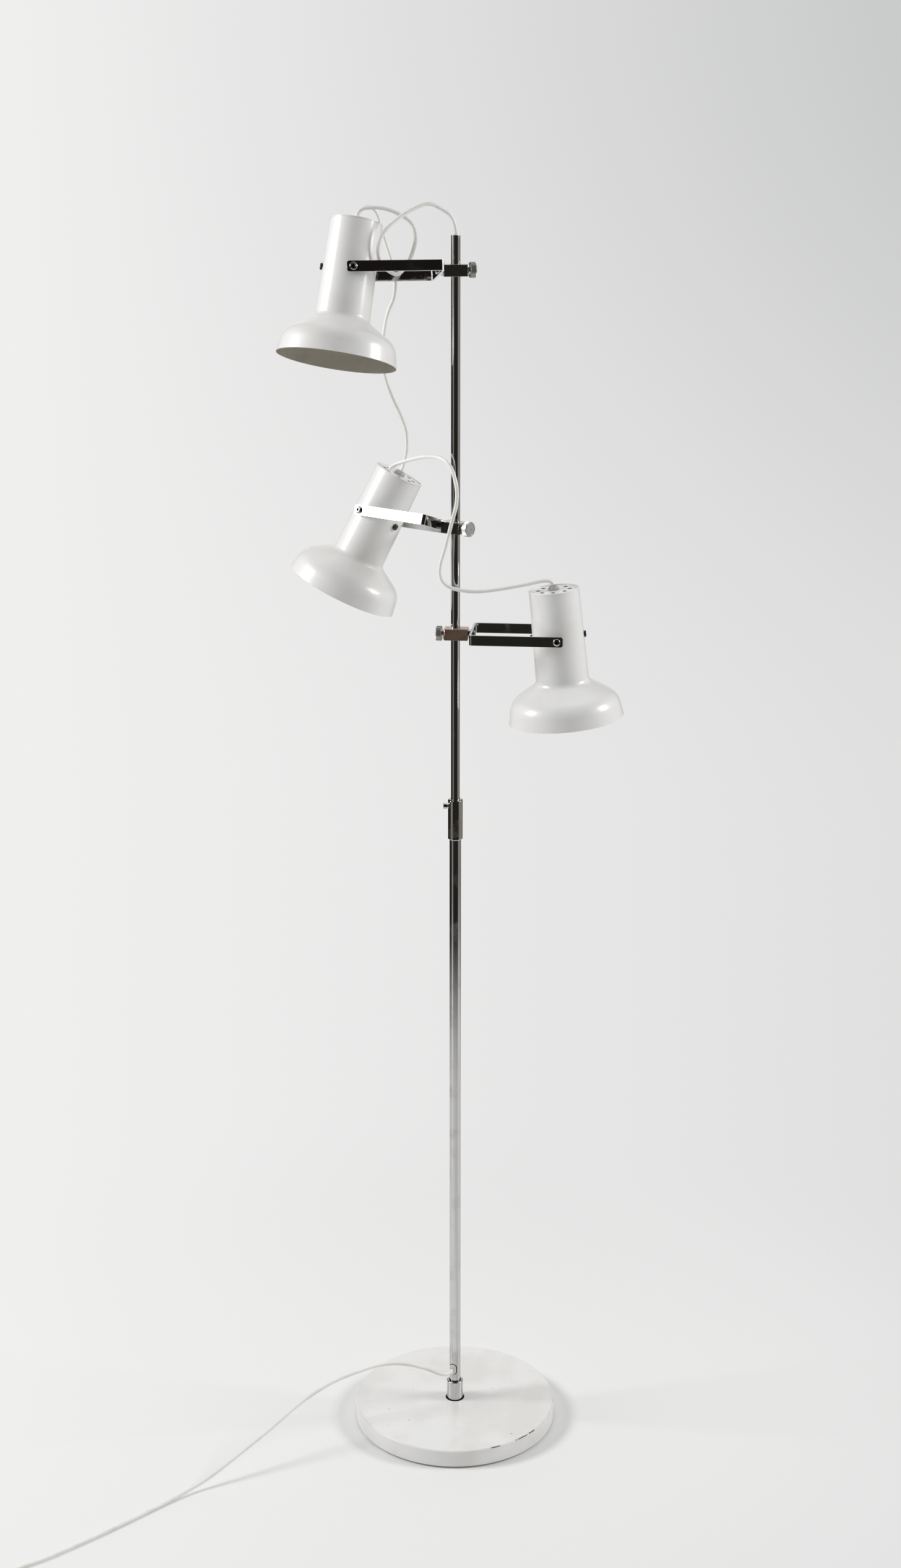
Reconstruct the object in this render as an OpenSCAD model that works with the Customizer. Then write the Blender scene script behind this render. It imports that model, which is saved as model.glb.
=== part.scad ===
// Floor lamp: a round disc base, a pole of two telescoping tubes and three spot heads.
// Each head is a spun shade that tilts in a U-shaped fork. The fork rolls on a clamp block,
// and the block swivels on a liner that slides on the pole until its knob is tightened.
// All sizes are in millimetres. The pole stands on the origin and the floor is at z = 0.

/* [Base] */
// diameter of the base disc
base_d = 290; // [240:1:340]
// thickness of the base disc
base_h = 25; // [20:0.5:35]
// rounding of the disc's top edge
base_round = 2.5; // [1:0.5:5]
// thickness of the felt under the disc
felt_h = 2.5; // [1.5:0.5:5]
// how far the felt stays inside the disc's edge
felt_inset = 4; // [2:1:15]
// how deep the foot ferrule sits in the disc
ferrule_sink = 6; // [3:0.5:8]
// how far the foot ferrule stands above the disc
ferrule_h = 29; // [15:0.5:45]
// wall of the foot ferrule round the lower tube
ferrule_wall = 3.7; // [2.5:0.1:6]
// thickness of the ferrule's floor under the tube
ferrule_floor = 8; // [4:0.5:12]
// diameter of the ferrule's threaded shank
shank_d = 12; // [8:1:14]
// width of the recess for nut and washer under the disc
recess_d = 44; // [36:1:60]
// depth of that recess
recess_h = 12; // [10:0.5:13]
// thickness of the washer in the recess
foot_washer_h = 2; // [1:0.5:3]
// height of the nut in the recess
foot_nut_h = 6; // [4:0.5:7]

/* [Pole] */
// height of the pole's top
pole_top = 1695; // [1690:1:1760]
// diameter of the lower tube
lower_d = 16; // [15:0.5:20]
// wall of the lower tube
lower_wall = 1.5; // [1:0.1:1.6]
// diameter of the upper tube
upper_d = 12; // [10:0.1:12.2]
// wall of the upper tube
upper_wall = 1; // [0.8:0.1:1.5]
// height of the coupling sleeve's lower end
sleeve_z = 890.5; // [700:0.5:940]
// length of the coupling sleeve
sleeve_h = 57; // [50:0.5:80]
// wall of the sleeve round the lower tube
sleeve_wall = 2.1; // [1.6:0.1:4]
// how far the lower tube reaches into the sleeve
sleeve_seat = 30; // [15:0.5:35]
// chamfer at both ends of the sleeve
sleeve_chamfer = 1.2; // [0.4:0.1:1.8]
// how far the upper tube reaches down below the sleeve's top
upper_inside = 170; // [110:1:250]
// distance of the sleeve's screw below the sleeve's top
screw_drop = 10; // [8:0.5:18]
// diameter of the sleeve's screw
screw_d = 5; // [4:0.5:6]
// diameter of the sleeve screw's head
screw_head_d = 8.2; // [7:0.1:12]
// length of the sleeve screw's head
screw_head_h = 5; // [3:0.5:8]
// length of the end guide inside the lower tube
guide_h = 6; // [4:0.5:12]
// length of the bush in the pole's open top
top_bush_h = 12; // [6:1:20]

/* [Cord inlet] */
// height of the cord's inlet above the floor
inlet_z = 76.5; // [72:0.5:120]
// side that the inlet faces, from the front towards the left
inlet_turn = 24; // [0:1:90]
// width of the inlet's bush
inlet_w = 9; // [8:0.5:11]
// height of the inlet's bush
inlet_h = 16; // [13:0.5:20]
// how far the bush stands out from the tube
inlet_out = 2.2; // [1.5:0.1:4]

/* [Clamp] */
// height of the clamp block
block_h = 15; // [13:0.5:20]
// depth of the clamp block across its screw
block_w = 20; // [18:0.5:28]
// pole axis to the block's end at the fork
block_front = 17; // [14:0.5:24]
// pole axis to the block's end at the knob
block_back = 15.5; // [13:0.5:24]
// chamfer round the block's knob end
block_chamfer = 1.6; // [0.5:0.1:2.5]
// wall of the liner between pole and block
liner_wall = 1.5; // [1:0.1:2]
// diameter of the knob
knob_d = 20; // [16:0.5:30]
// length of the knurled part
knob_h = 8; // [5:0.5:14]
// length of the collar between block and knob
collar_h = 2.4; // [1:0.1:5]
// diameter of that collar
collar_d = 10.5; // [8:0.5:14]
// diameter of the knob's screw
knob_screw_d = 6; // [5:0.5:8]
// grooves round the knob
knob_grooves = 40; // [24:2:48]
// thickness of the washer between block and fork
roll_washer_h = 4.2; // [2:0.1:6]
// diameter of that washer
roll_washer_d = 13; // [10:0.5:15]

/* [Fork] */
// pole axis to the tilt pivots
reach = 137; // [130:1:170]
// height of the fork's bar
bar_h = 13.5; // [10:0.5:18]
// thickness of the fork's bar
bar_t = 3; // [2:0.1:4]
// how far the arms go on past the pivots
arm_tail = 8; // [7.5:0.1:12]
// rounding of the arms' end corners
arm_round = 3; // [1:0.5:5]
// outer radius of the two bends
bend_r = 4.5; // [3.5:0.1:8]
// diameter of the pivot screws and of the fork's screw
pivot_d = 5; // [4:0.5:6]
// diameter of those screws' heads
pivot_head_d = 10; // [8:0.5:12]
// height of those heads
pivot_head_h = 2.8; // [2:0.1:4]
// width of the hexagon socket in the heads
socket_w = 4; // [3:0.5:5]
// thickness of the spacers between shade and fork
spacer_h = 3.1; // [1.5:0.1:5]
// diameter of the spacers
spacer_d = 12; // [9:0.5:13]

/* [Shade] */
// radius of the neck at the pivots
neck_r = 34.4; // [30:0.1:40]
// how much the neck widens for each millimetre down
neck_taper = 0.0176; // [0:0.001:0.03]
// pivots up to the cap's top
head_up = 63.5; // [58:0.5:80]
// pivots down to the corner between neck and shoulder
neck_down = 62; // [45:0.5:75]
// radius of the shade's mouth
mouth_r = 77.4; // [66:0.1:95]
// pivots down to the shade's mouth
head_down = 113.3; // [105:0.5:140]
// fall of the shoulder for each millimetre outwards
shoulder_fall = 0.64; // [0.4:0.01:0.75]
// widening of the skirt for each millimetre down
skirt_flare = 0.176; // [0.05:0.005:0.25]
// rounding where neck and shoulder meet
neck_round = 10; // [4:0.5:14]
// rounding where shoulder and skirt meet
shoulder_round = 26; // [10:1:30]
// thickness of the spun sheet
sheet = 1.2; // [0.8:0.1:1.5]
// diameter of the side screws' heads
side_head_d = 8.6; // [6:0.1:9]
// height of those heads
side_head_h = 2.7; // [1:0.1:3]
// diameter of the side screws
side_d = 4; // [3:0.5:5]

/* [Cap and lampholder] */
// depth of the cap's recessed plate under its rim
cap_recess = 1.2; // [0.6:0.1:2]
// length of the cap's skirt inside the neck
cap_skirt = 8; // [4:0.5:12]
// number of vent holes
vents = 8; // [4:1:10]
// diameter of a vent hole
vent_d = 5.8; // [5.6:0.1:7]
// radius of the ring of vent holes
vent_r = 21; // [17:0.5:25]
// diameter of the cable gland's flange
gland_d = 15; // [13:0.5:18]
// height of the gland above the cap's rim
gland_up = 4.5; // [3:0.5:8]
// diameter of the threaded tube under the gland
nipple_d = 10; // [8:0.5:12]
// width across the lampholder
holder_d = 39; // [34:0.5:42]
// length of the lampholder
holder_h = 58; // [50:0.5:66]
// diameter of the lampholder's socket
lamp_d = 26.7; // [14:0.1:28]
// depth of the lampholder's socket
lamp_h = 28; // [20:0.5:32]
// height of the clamping ring inside the neck
ring_h = 14; // [9:0.5:18]
// thickness of that ring
ring_t = 1.8; // [1:0.1:3]

/* [Rest pose] */
// height of clamp 1
clamp1_z = 1651.5; // [1600:0.5:1680]
// direction of fork 1
turn1 = 190.4; // [150:0.1:230]
// roll of fork 1
roll1 = 13.3; // [-20:0.1:30]
// tilt of head 1
tilt1 = -10.9; // [-30:0.1:10]
// height of clamp 2
clamp2_z = 1320.7; // [1290:0.5:1340]
// direction of fork 2
turn2 = 139.2; // [110:0.1:170]
// roll of fork 2
roll2 = 18.5; // [-20:0.1:30]
// tilt of head 2
tilt2 = -19.5; // [-40:0.1:10]
// height of clamp 3
clamp3_z = 1177.8; // [1150:0.5:1200]
// direction of fork 3
turn3 = -5.5; // [-40:0.1:40]
// roll of fork 3
roll3 = 0; // [-20:0.1:20]
// tilt of head 3
tilt3 = -6.0; // [-30:0.1:10]

/* [Cords] */
// diameter of all cords
cord_d = 5; // [4:0.1:5.2]
// turns that the mains coil spirals inwards on the floor
coil_in = 3; // [2:1:4]
// radius of the coil's outer turn
coil_r = 38; // [34:1:44]
// sideways step from one turn of the coil to the next
coil_step = 5.6; // [5.5:0.1:6.5]
// thickness of the plug, which lies flat
plug_h = 13.7; // [12:0.1:16]
// width of the plug
plug_w = 35; // [30:0.5:38]
// length of the plug's body
plug_l = 36; // [30:0.5:42]
// diameter of the plug's pins
pin_d = 4; // [3:0.1:4.8]
// length of the plug's pins
pin_l = 19; // [15:0.5:22]
// distance between the pins
pin_gap = 18.6; // [17:0.1:19]

/* [Fit] */
// clearance round a screw, shaft or bush that turns or slides
run = 0.05; // [0.02:0.01:0.1]
// clearance between flat faces that move on each other
face = 0.1; // [0.05:0.05:0.3]
// clearance between the tip of a clamp screw and what it presses on
tip = 0.35; // [0.3:0.05:0.6]

/* [Hidden] */
$fn = 48;
eps = 0.01;

// heights and radii that follow from the sizes above
base_top = felt_h + base_h;
ferrule_z = base_top - ferrule_sink;
tube_z = ferrule_z + ferrule_floor;
sleeve_top = sleeve_z + sleeve_h;
shoulder_z = sleeve_z + sleeve_seat;
upper_z = sleeve_top - upper_inside;
lower_r = lower_d / 2;
upper_r = upper_d / 2;
sleeve_r = lower_r + sleeve_wall;
ferrule_r = lower_r + ferrule_wall;
liner_r = upper_r + run + liner_wall;
web_x = block_front + roll_washer_h + face;
arm_y = neck_r + spacer_h + 2 * run + face;
cap_z = head_up - cap_recess;
rim_z = head_up - 1.5;
gland_z = head_up + gland_up;
holder_top = cap_z - sheet - run;
clamp_z = [clamp1_z, clamp2_z, clamp3_z];
turn = [turn1, turn2, turn3];
roll = [roll1, roll2, roll3];
tilt = [tilt1, tilt2, tilt3];

// ---- places ----
module on_pole(i) { translate([0, 0, clamp_z[i]]) rotate([0, 0, turn[i]]) children(); }
module on_fork(i) { on_pole(i) rotate([roll[i], 0, 0]) children(); }
module on_head(i) { on_fork(i) translate([reach, 0, 0]) rotate([0, tilt[i], 0]) children(); }
module along_x() { rotate([0, 90, 0]) children(); }
module both_sides() { for (s = [-90, 90]) rotate([0, 0, s]) along_x() children(); }

// the same places for a point, so that the cables end where the heads are
function about_x(p, a) = [p[0], p[1] * cos(a) - p[2] * sin(a), p[1] * sin(a) + p[2] * cos(a)];
function about_y(p, a) = [p[0] * cos(a) + p[2] * sin(a), p[1], p[2] * cos(a) - p[0] * sin(a)];
function about_z(p, a) = [p[0] * cos(a) - p[1] * sin(a), p[0] * sin(a) + p[1] * cos(a), p[2]];
function head_point(i, p) = about_z(about_x(about_y(p, tilt[i]) + [reach, 0, 0], roll[i]), turn[i])
  + [0, 0, clamp_z[i]];

// ---- profiles ----
function unit(v) = v / norm(v);
// points of the arc that rounds the corner b of the line a, b, c
function rounded(a, b, c, r, n) =
  let (u = unit(a - b), v = unit(c - b), half = acos(u * v) / 2,
    p = b + u * r / tan(half), o = b + unit(u + v) * r / sin(half),
    a0 = atan2(p[1] - o[1], p[0] - o[0]), q = b + v * r / tan(half),
    a1 = atan2(q[1] - o[1], q[0] - o[0]), d = a1 - a0,
    sweep = d > 180 ? d - 360 : d < -180 ? d + 360 : d)
  [for (k = [0 : n]) o + r * [cos(a0 + sweep * k / n), sin(a0 + sweep * k / n)]];

// outside of the spun shade from the neck's top to the mouth, as radius and height
neck_top = [neck_r - neck_taper * rim_z, rim_z];
neck_foot = [neck_r + neck_taper * neck_down, -neck_down];
mouth = [mouth_r, -head_down];
// where the shoulder's line meets the skirt's line
knuckle_run = (head_down - neck_down - (mouth_r - neck_foot[0]) / skirt_flare)
  / (shoulder_fall - 1 / skirt_flare);
knuckle = neck_foot + [knuckle_run, -shoulder_fall * knuckle_run];
outside = concat([neck_top], rounded(neck_top, neck_foot, knuckle, neck_round, 6),
  rounded(neck_foot, knuckle, mouth, shoulder_round, 10), [mouth]);
function side_of(p, i) =
  let (d = unit(p[min(i + 1, len(p) - 1)] - p[max(i - 1, 0)])) [d[1], -d[0]];
inside = [for (i = [0 : len(outside) - 1]) outside[i] + sheet * side_of(outside, i)];
function neck_at(z) = neck_r - neck_taper * z;

// ---- cords ----
function curve(a, b, c, d, t) = ((2 * b) + (c - a) * t + (2 * a - 5 * b + 4 * c - d) * t * t
  + (3 * b - a - 3 * c + d) * t * t * t) / 2;
function smooth(p) = [for (i = [0 : len(p) - 2])
  let (n = max(1, round(norm(p[i + 1] - p[i]) / (cord_d * 2.6))))
  for (k = [0 : n - 1])
    curve(p[max(i - 1, 0)], p[i], p[i + 1], p[min(i + 2, len(p) - 1)], k / n), p[len(p) - 1]];
function heading(p, i) = unit(p[min(i + 1, len(p) - 1)] - p[max(i - 1, 0)]);
function square_to(n, t) = unit(n - (n * t) * t);
function frames(p) = [for (i = 0, n = square_to([0.3, 0.9, 0.2], heading(p, 0)); i < len(p);
  n = square_to(n, heading(p, min(i + 1, len(p) - 1))), i = i + 1) n];
function total(p, i = 0, sum = 0) =
  i > len(p) - 2 ? sum : total(p, i + 1, sum + norm(p[i + 1] - p[i]));

// one closed tube along the points p
module tube(p, d, sides) {
  last = len(p) - 1;
  f = frames(p);
  rings = [for (i = [0 : last]) let (t = heading(p, i), u = square_to(f[i], t), w = cross(t, u))
    for (k = [0 : sides - 1]) p[i] + (u * cos(360 * k / sides) + w * sin(360 * k / sides)) * d / 2];
  wall = [for (i = [0 : last - 1], k = [0 : sides - 1])
    let (a = i * sides + k, b = i * sides + (k + 1) % sides) each
      [[a, a + sides, b], [b, a + sides, b + sides]]];
  ends = [for (k = [1 : sides - 2]) each
    [[0, k, k + 1], [last * sides, last * sides + k + 1, last * sides + k]]];
  polyhedron(points = rings, faces = concat(wall, ends), convexity = 10);
}

// where the cables leave the pole, the glands and the vent holes, each with a short straight end
function gland_end(i, out) = head_point(i, [0, 0, gland_z + face + out]);
function vent_end(i, a, out) = head_point(i, [vent_r * cos(a), vent_r * sin(a), cap_z + out]);
cable_1 = concat([[0, 0, pole_top + face], [0, 0, pole_top + 7]],
  [[-5, -3, 1717], [-17, -6, 1727], [-36, -14, 1734], [-63, -26, 1723], [-83, -36, 1708],
   [-94, -42, 1693], [-97, -44, 1675], [-91, -40, 1659], [-75, -26, 1648], [-64, -10, 1656],
   [-57, 0, 1668], [-51, 6, 1690], [-56, 4, 1709], [-72, 0, 1721], [-91, -3, 1728],
   [-109, -4, 1729], [-119, -4, 1727]], [gland_end(0, 5), gland_end(0, 0)]);
cable_2 = concat([vent_end(0, 270, -0.8), vent_end(0, 270, 5)],
  [[-124, 14, 1719], [-119.5, 16, 1726.5], [-112, 18.5, 1729.5], [-104.5, 22, 1726.5],
   [-100, 25.5, 1718.5], [-96, 30, 1704], [-91, 34, 1688], [-83, 38, 1662], [-78, 40, 1636],
   [-80, 42, 1614], [-88, 45, 1594], [-93, 48, 1570], [-96, 53, 1540], [-93, 60, 1512],
   [-84, 70, 1484], [-73, 80, 1458], [-66, 86, 1436], [-65, 89, 1414], [-67, 90, 1400]], [gland_end(1, 6), gland_end(1, 0)]);
cable_3 = concat([vent_end(1, 90, -0.8), vent_end(1, 90, 5)],
  [[-79, 73, 1393], [-68, 65, 1398], [-52, 46, 1405], [-36, 20, 1411], [-18, -6, 1412],
   [-6, -19, 1402], [1, -26, 1379], [1, -28, 1356], [-5, -28, 1332], [-13, -26, 1300],
   [-20, -22, 1274], [-19, -20, 1256], [-7, -18, 1244], [15, -18, 1239], [38, -18, 1239],
   [66, -18, 1243], [93, -17, 1247.8], [108, -15, 1250.8], [115, -14.1, 1251.9],
   [121, -13.4, 1252.1], [125, -12.9, 1251], [127.8, -12.5, 1249]], [gland_end(2, 1.6)]);
inlet_dir = [-sin(inlet_turn), -cos(inlet_turn), 0];
inlet_end = inlet_dir * (lower_r + inlet_out + face) + [0, 0, inlet_z];
coil_at = [-588, -430, cord_d / 2 + 0.1];
coil_turn = 120;
coil_lift = cord_d + 0.6;
function spot(r, a, z) = coil_at + [r * cos(a), r * sin(a), z];
coil_start = spot(coil_r, coil_turn, 0);
coil_dir = [-sin(coil_turn), cos(coil_turn), 0];
mains = concat([inlet_end, inlet_end + inlet_dir * 6],
  [[-13, -22, 77], [-23, -25, 80], [-39, -25, 87], [-60, -26, 94], [-84, -29, 99], [-109, -37, 101],
   [-133, -47, 99], [-166, -61, 93], [-194, -75, 84], [-224, -94, 71], [-263, -125, 50],
   [-303, -156, 31], [-341, -185, 14], [-366, -203, 6.5], [-387, -221, 3.4], [-408, -240, 2.6],
   [-440, -270, 2.6], [-475, -302, 2.6], [-510, -332, 2.6], [-546, -361, 2.6], [-576, -380, 2.6]],
  [coil_start - coil_dir * 8, coil_start]);

// the coil: inwards on the floor, half a turn up at the middle, and outwards again on top
coil_out = coil_in - 0.25;
function coil_turns(t) =
  let (back = coil_in + 0.25, lift = min(max(t - coil_in, 0), 0.5))
  [coil_r - coil_step * (t < back ? t : 2 * back - t), coil_lift * (1 - cos(360 * lift)) / 2];
coil_all = coil_in + 0.5 + coil_out;
coil_loops = [for (k = [1 : round(coil_all * 24) - 1])
  let (t = k / 24, c = coil_turns(t)) spot(c[0], coil_turn + 360 * t, c[1])];
tail_turn = coil_turn + 360 * coil_all;
tail_r = coil_turns(coil_all)[0];
tail_dir = [-sin(tail_turn), cos(tail_turn), 0];
tail_0 = spot(tail_r, tail_turn, coil_lift);
plug_at = tail_0 + tail_dir * 30 + [0, 0, plug_h / 2 - tail_0[2]];
coil = concat([coil_start + coil_dir * face, coil_start + coil_dir * 5],
  [for (k = [1 : len(coil_loops) - 1]) coil_loops[k]],
  [tail_0, tail_0 + tail_dir * 14, plug_at - tail_dir * 7, plug_at - tail_dir * face]);
// closest that the coil comes to itself, between points more than half a turn apart
coil_gap = min([for (i = [2 : len(coil) - 15], k = [i + 12 : len(coil) - 3]) norm(coil[i] - coil[k])])
  - cord_d;
echo(cable_1 = total(smooth(cable_1)), cable_2 = total(smooth(cable_2)),
  cable_3 = total(smooth(cable_3)), mains = total(smooth(mains)), coil = total(coil),
  coil_gap = coil_gap);

// ---- base ----
module base_felt() {
  color([0.12, 0.12, 0.12]) cylinder(d = base_d - 2 * felt_inset, h = felt_h, $fn = 96);
}

module base_plate() {
  r = base_d / 2;
  color([0.93, 0.93, 0.92]) difference() {
    rotate_extrude($fn = 96) polygon(concat([[0, felt_h], [r - 0.8, felt_h], [r, felt_h + 0.8]],
      rounded([r, felt_h], [r, base_top], [0, base_top], base_round, 5), [[0, base_top]]));
    translate([0, 0, ferrule_z]) cylinder(r = ferrule_r + 1.7, h = ferrule_sink + 1);
    translate([0, 0, felt_h - 1]) cylinder(d = shank_d + 0.4, h = base_h);
    translate([0, 0, felt_h - 1]) cylinder(d = recess_d, h = recess_h + 1);
  }
}

module foot_washer() {
  color([0.7, 0.7, 0.72]) translate([0, 0, felt_h + recess_h - foot_washer_h - run]) difference() {
    cylinder(d = recess_d - 12, h = foot_washer_h);
    translate([0, 0, -1]) cylinder(d = shank_d + 2 * run, h = foot_washer_h + 2);
  }
}

module foot_nut() {
  color([0.7, 0.7, 0.72]) translate([0, 0, felt_h + recess_h - foot_washer_h - foot_nut_h - 2 * run])
    difference() {
      cylinder(d = shank_d * 1.8, h = foot_nut_h, $fn = 6);
      translate([0, 0, -1]) cylinder(d = shank_d + 2 * run, h = foot_nut_h + 2);
    }
}

module foot_ferrule() {
  top = base_top + ferrule_h;
  foot = felt_h + recess_h - foot_washer_h - foot_nut_h - 1;
  color([0.8, 0.8, 0.82]) rotate_extrude() polygon([
    [0, foot], [shank_d / 2 - 1, foot], [shank_d / 2, foot + 1], [shank_d / 2, ferrule_z],
    [ferrule_r, ferrule_z], [ferrule_r, top - 1.2], [ferrule_r - 0.4, top - 0.4],
    [ferrule_r - 1.2, top], [lower_r + 1, top], [lower_r + run, top - 2],
    [lower_r + run, tube_z - run], [0, tube_z - run]]);
}

// ---- pole ----
module lower_tube() {
  color([0.8, 0.8, 0.82]) difference() {
    translate([0, 0, tube_z]) cylinder(r = lower_r, h = shoulder_z - run - tube_z);
    translate([0, 0, tube_z - 1]) cylinder(r = lower_r - lower_wall, h = shoulder_z - tube_z + 2);
    at_inlet() linear_extrude(lower_r + 1) stadium(inlet_w - 1.6, inlet_h - 1.6);
  }
}

module at_inlet() { translate([0, 0, inlet_z]) rotate([90, 0, -inlet_turn]) children(); }

module stadium(w, h) {
  square([w, h - w], center = true);
  for (s = [-1, 1]) translate([0, s * (h - w) / 2]) circle(d = w);
}

module cord_inlet() {
  color([0.86, 0.85, 0.8]) difference() {
    at_inlet() union() {
      translate([0, 0, lower_r - lower_wall - 0.6]) linear_extrude(lower_wall + 1.6)
        stadium(inlet_w - 1.8, inlet_h - 1.8);
      difference() {
        translate([0, 0, lower_r - 2]) linear_extrude(inlet_out + 2) stadium(inlet_w, inlet_h);
        rotate([90, 0, 0]) cylinder(r = lower_r + run, h = 2 * inlet_h, center = true);
      }
    }
    at_inlet() translate([0, 0, lower_r + 0.6]) linear_extrude(inlet_out)
      difference() {
        stadium(inlet_w - 1.8, inlet_h - 1.8);
        circle(d = cord_d + 1.6);
      }
  }
}

module pole_sleeve() {
  c = sleeve_chamfer;
  color([0.8, 0.8, 0.82]) difference() {
    rotate_extrude() polygon([
      [lower_r + run, sleeve_z], [sleeve_r - c, sleeve_z], [sleeve_r, sleeve_z + c],
      [sleeve_r, sleeve_top - c], [sleeve_r - c, sleeve_top], [upper_r + run, sleeve_top],
      [upper_r + run, shoulder_z], [lower_r + run, shoulder_z]]);
    at_screw() cylinder(d = screw_d + 2 * run, h = sleeve_r + 2);
  }
}

// the sleeve's screw points along -X
module at_screw() { translate([0, 0, sleeve_top - screw_drop]) rotate([0, -90, 0]) children(); }

module sleeve_screw() {
  head = sleeve_r + 1.5;
  color([0.8, 0.8, 0.82]) at_screw() difference() {
    union() {
      translate([0, 0, upper_r + tip]) cylinder(d = screw_d, h = head - upper_r - tip);
      translate([0, 0, sleeve_r + face]) cylinder(d = screw_head_d - 2, h = 1.5);
      translate([0, 0, head]) rotate_extrude() polygon([[0, 0], [screw_head_d / 2 - 0.5, 0],
        [screw_head_d / 2, 0.5], [screw_head_d / 2, screw_head_h - 0.6],
        [screw_head_d / 2 - 0.6, screw_head_h], [0, screw_head_h]]);
    }
    translate([-0.6, -screw_head_d, head + screw_head_h - 1.2]) cube([1.2, 2 * screw_head_d, 2]);
  }
}

module guide_bush() {
  bore = upper_r - upper_wall;
  color([0.9, 0.9, 0.88]) rotate_extrude() polygon([
    [cord_d / 2 + 0.6, upper_z - face - guide_h], [lower_r - lower_wall - run - 0.5, upper_z - face - guide_h],
    [lower_r - lower_wall - run, upper_z - face - guide_h + 0.5],
    [lower_r - lower_wall - run, upper_z - face], [bore - run, upper_z - face],
    [bore - run, upper_z + 2 * guide_h], [cord_d / 2 + 0.6, upper_z + 2 * guide_h]]);
}

module upper_tube() {
  color([0.8, 0.8, 0.82]) translate([0, 0, upper_z]) difference() {
    cylinder(r = upper_r, h = pole_top - upper_z);
    translate([0, 0, -1]) cylinder(r = upper_r - upper_wall, h = pole_top - upper_z + 2);
  }
}

module top_bush() {
  color([0.3, 0.3, 0.3]) translate([0, 0, pole_top - top_bush_h]) difference() {
    cylinder(r = upper_r - upper_wall - run, h = top_bush_h);
    translate([0, 0, -1]) cylinder(d = cord_d - 1, h = top_bush_h + 2);
  }
}

// ---- clamp ----
module liner(i) {
  color([0.9, 0.9, 0.88]) on_pole(i) difference() {
    cylinder(r = liner_r, h = block_h, center = true);
    cylinder(r = upper_r + run, h = block_h + 2, center = true);
  }
}

module block(i) {
  c = block_chamfer;
  w = block_w / 2;
  h = block_h / 2;
  color([0.8, 0.8, 0.82]) on_pole(i) difference() {
    intersection() {
      translate([0, 0, -h]) linear_extrude(block_h) polygon([[block_front - 0.6, -w], [block_front, -w + 0.6],
        [block_front, w - 0.6], [block_front - 0.6, w], [-block_back + c, w], [-block_back, w - c],
        [-block_back, -w + c], [-block_back + c, -w]]);
      rotate([90, 0, 0]) translate([0, 0, -w - 1]) linear_extrude(block_w + 2) polygon([[block_front, -h],
        [block_front, h], [-block_back + c, h], [-block_back, h - c], [-block_back, -h + c],
        [-block_back + c, -h]]);
    }
    cylinder(r = liner_r + run, h = block_h + 2, center = true);
    along_x() cylinder(d = pivot_d + 2 * run, h = block_front + 1);
    rotate([0, -90, 0]) cylinder(d = knob_screw_d + 2 * run, h = block_back + 1);
  }
}

module knob(i) {
  start = block_back + collar_h;
  r = knob_d / 2;
  color([0.75, 0.75, 0.77]) on_pole(i) rotate([0, -90, 0]) union() {
    translate([0, 0, liner_r + tip]) cylinder(d = knob_screw_d, h = start - liner_r - tip);
    translate([0, 0, block_back + face]) cylinder(d = collar_d, h = collar_h);
    difference() {
      intersection() {
        translate([0, 0, start]) linear_extrude(knob_h) difference() {
          circle(r = r);
          for (k = [0 : knob_grooves - 1]) rotate(k * 360 / knob_grooves)
            translate([r + 0.15, 0]) circle(r = 0.65, $fn = 8);
        }
        translate([0, 0, start]) rotate_extrude() polygon([[0, 0], [r - 0.8, 0], [r, 0.8],
          [r, knob_h - 0.8], [r - 0.8, knob_h], [0, knob_h]]);
      }
      translate([0, 0, start + knob_h - 0.5]) difference() {
        cylinder(r = r - 1.8, h = 1);
        translate([0, 0, -1]) cylinder(r = r - 2.6, h = 3);
      }
    }
  }
}

// ---- fork ----
module fork(i) {
  far = reach + arm_tail;
  out = arm_y + bar_t;
  inner = bend_r - bar_t;
  color([0.8, 0.8, 0.82]) on_fork(i) difference() {
    intersection() {
      translate([0, 0, -bar_h / 2]) linear_extrude(bar_h) difference() {
        union() {
          translate([web_x + bend_r, -out]) square([far - web_x - bend_r, 2 * out]);
          translate([web_x, -out + bend_r]) square([bend_r + 1, 2 * (out - bend_r)]);
          for (s = [-1, 1]) translate([web_x + bend_r, s * (out - bend_r)]) circle(r = bend_r);
        }
        translate([web_x + bend_r, -arm_y]) square([far, 2 * arm_y]);
        translate([web_x + bar_t, -arm_y + inner]) square([bend_r, 2 * (arm_y - inner)]);
        for (s = [-1, 1]) translate([web_x + bend_r, s * (out - bend_r)]) circle(r = inner);
      }
      rotate([90, 0, 0]) translate([0, 0, -out - 1]) linear_extrude(2 * out + 2) union() {
        translate([0, -bar_h / 2]) square([far - arm_round, bar_h]);
        translate([0, -bar_h / 2 + arm_round]) square([far, bar_h - 2 * arm_round]);
        for (s = [-1, 1]) translate([far - arm_round, s * (bar_h / 2 - arm_round)])
          circle(r = arm_round);
      }
    }
    along_x() cylinder(d = pivot_d + 2 * run, h = web_x + bar_t + 1);
    translate([reach, 0, 0]) both_sides() cylinder(d = pivot_d + 2 * run, h = out + 1);
  }
}

module roll_washer(i) {
  color([0.8, 0.8, 0.82]) on_pole(i) along_x() translate([0, 0, block_front]) difference() {
    cylinder(d = roll_washer_d, h = roll_washer_h);
    translate([0, 0, -1]) cylinder(d = pivot_d + 2 * run, h = roll_washer_h + 2);
  }
}

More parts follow.
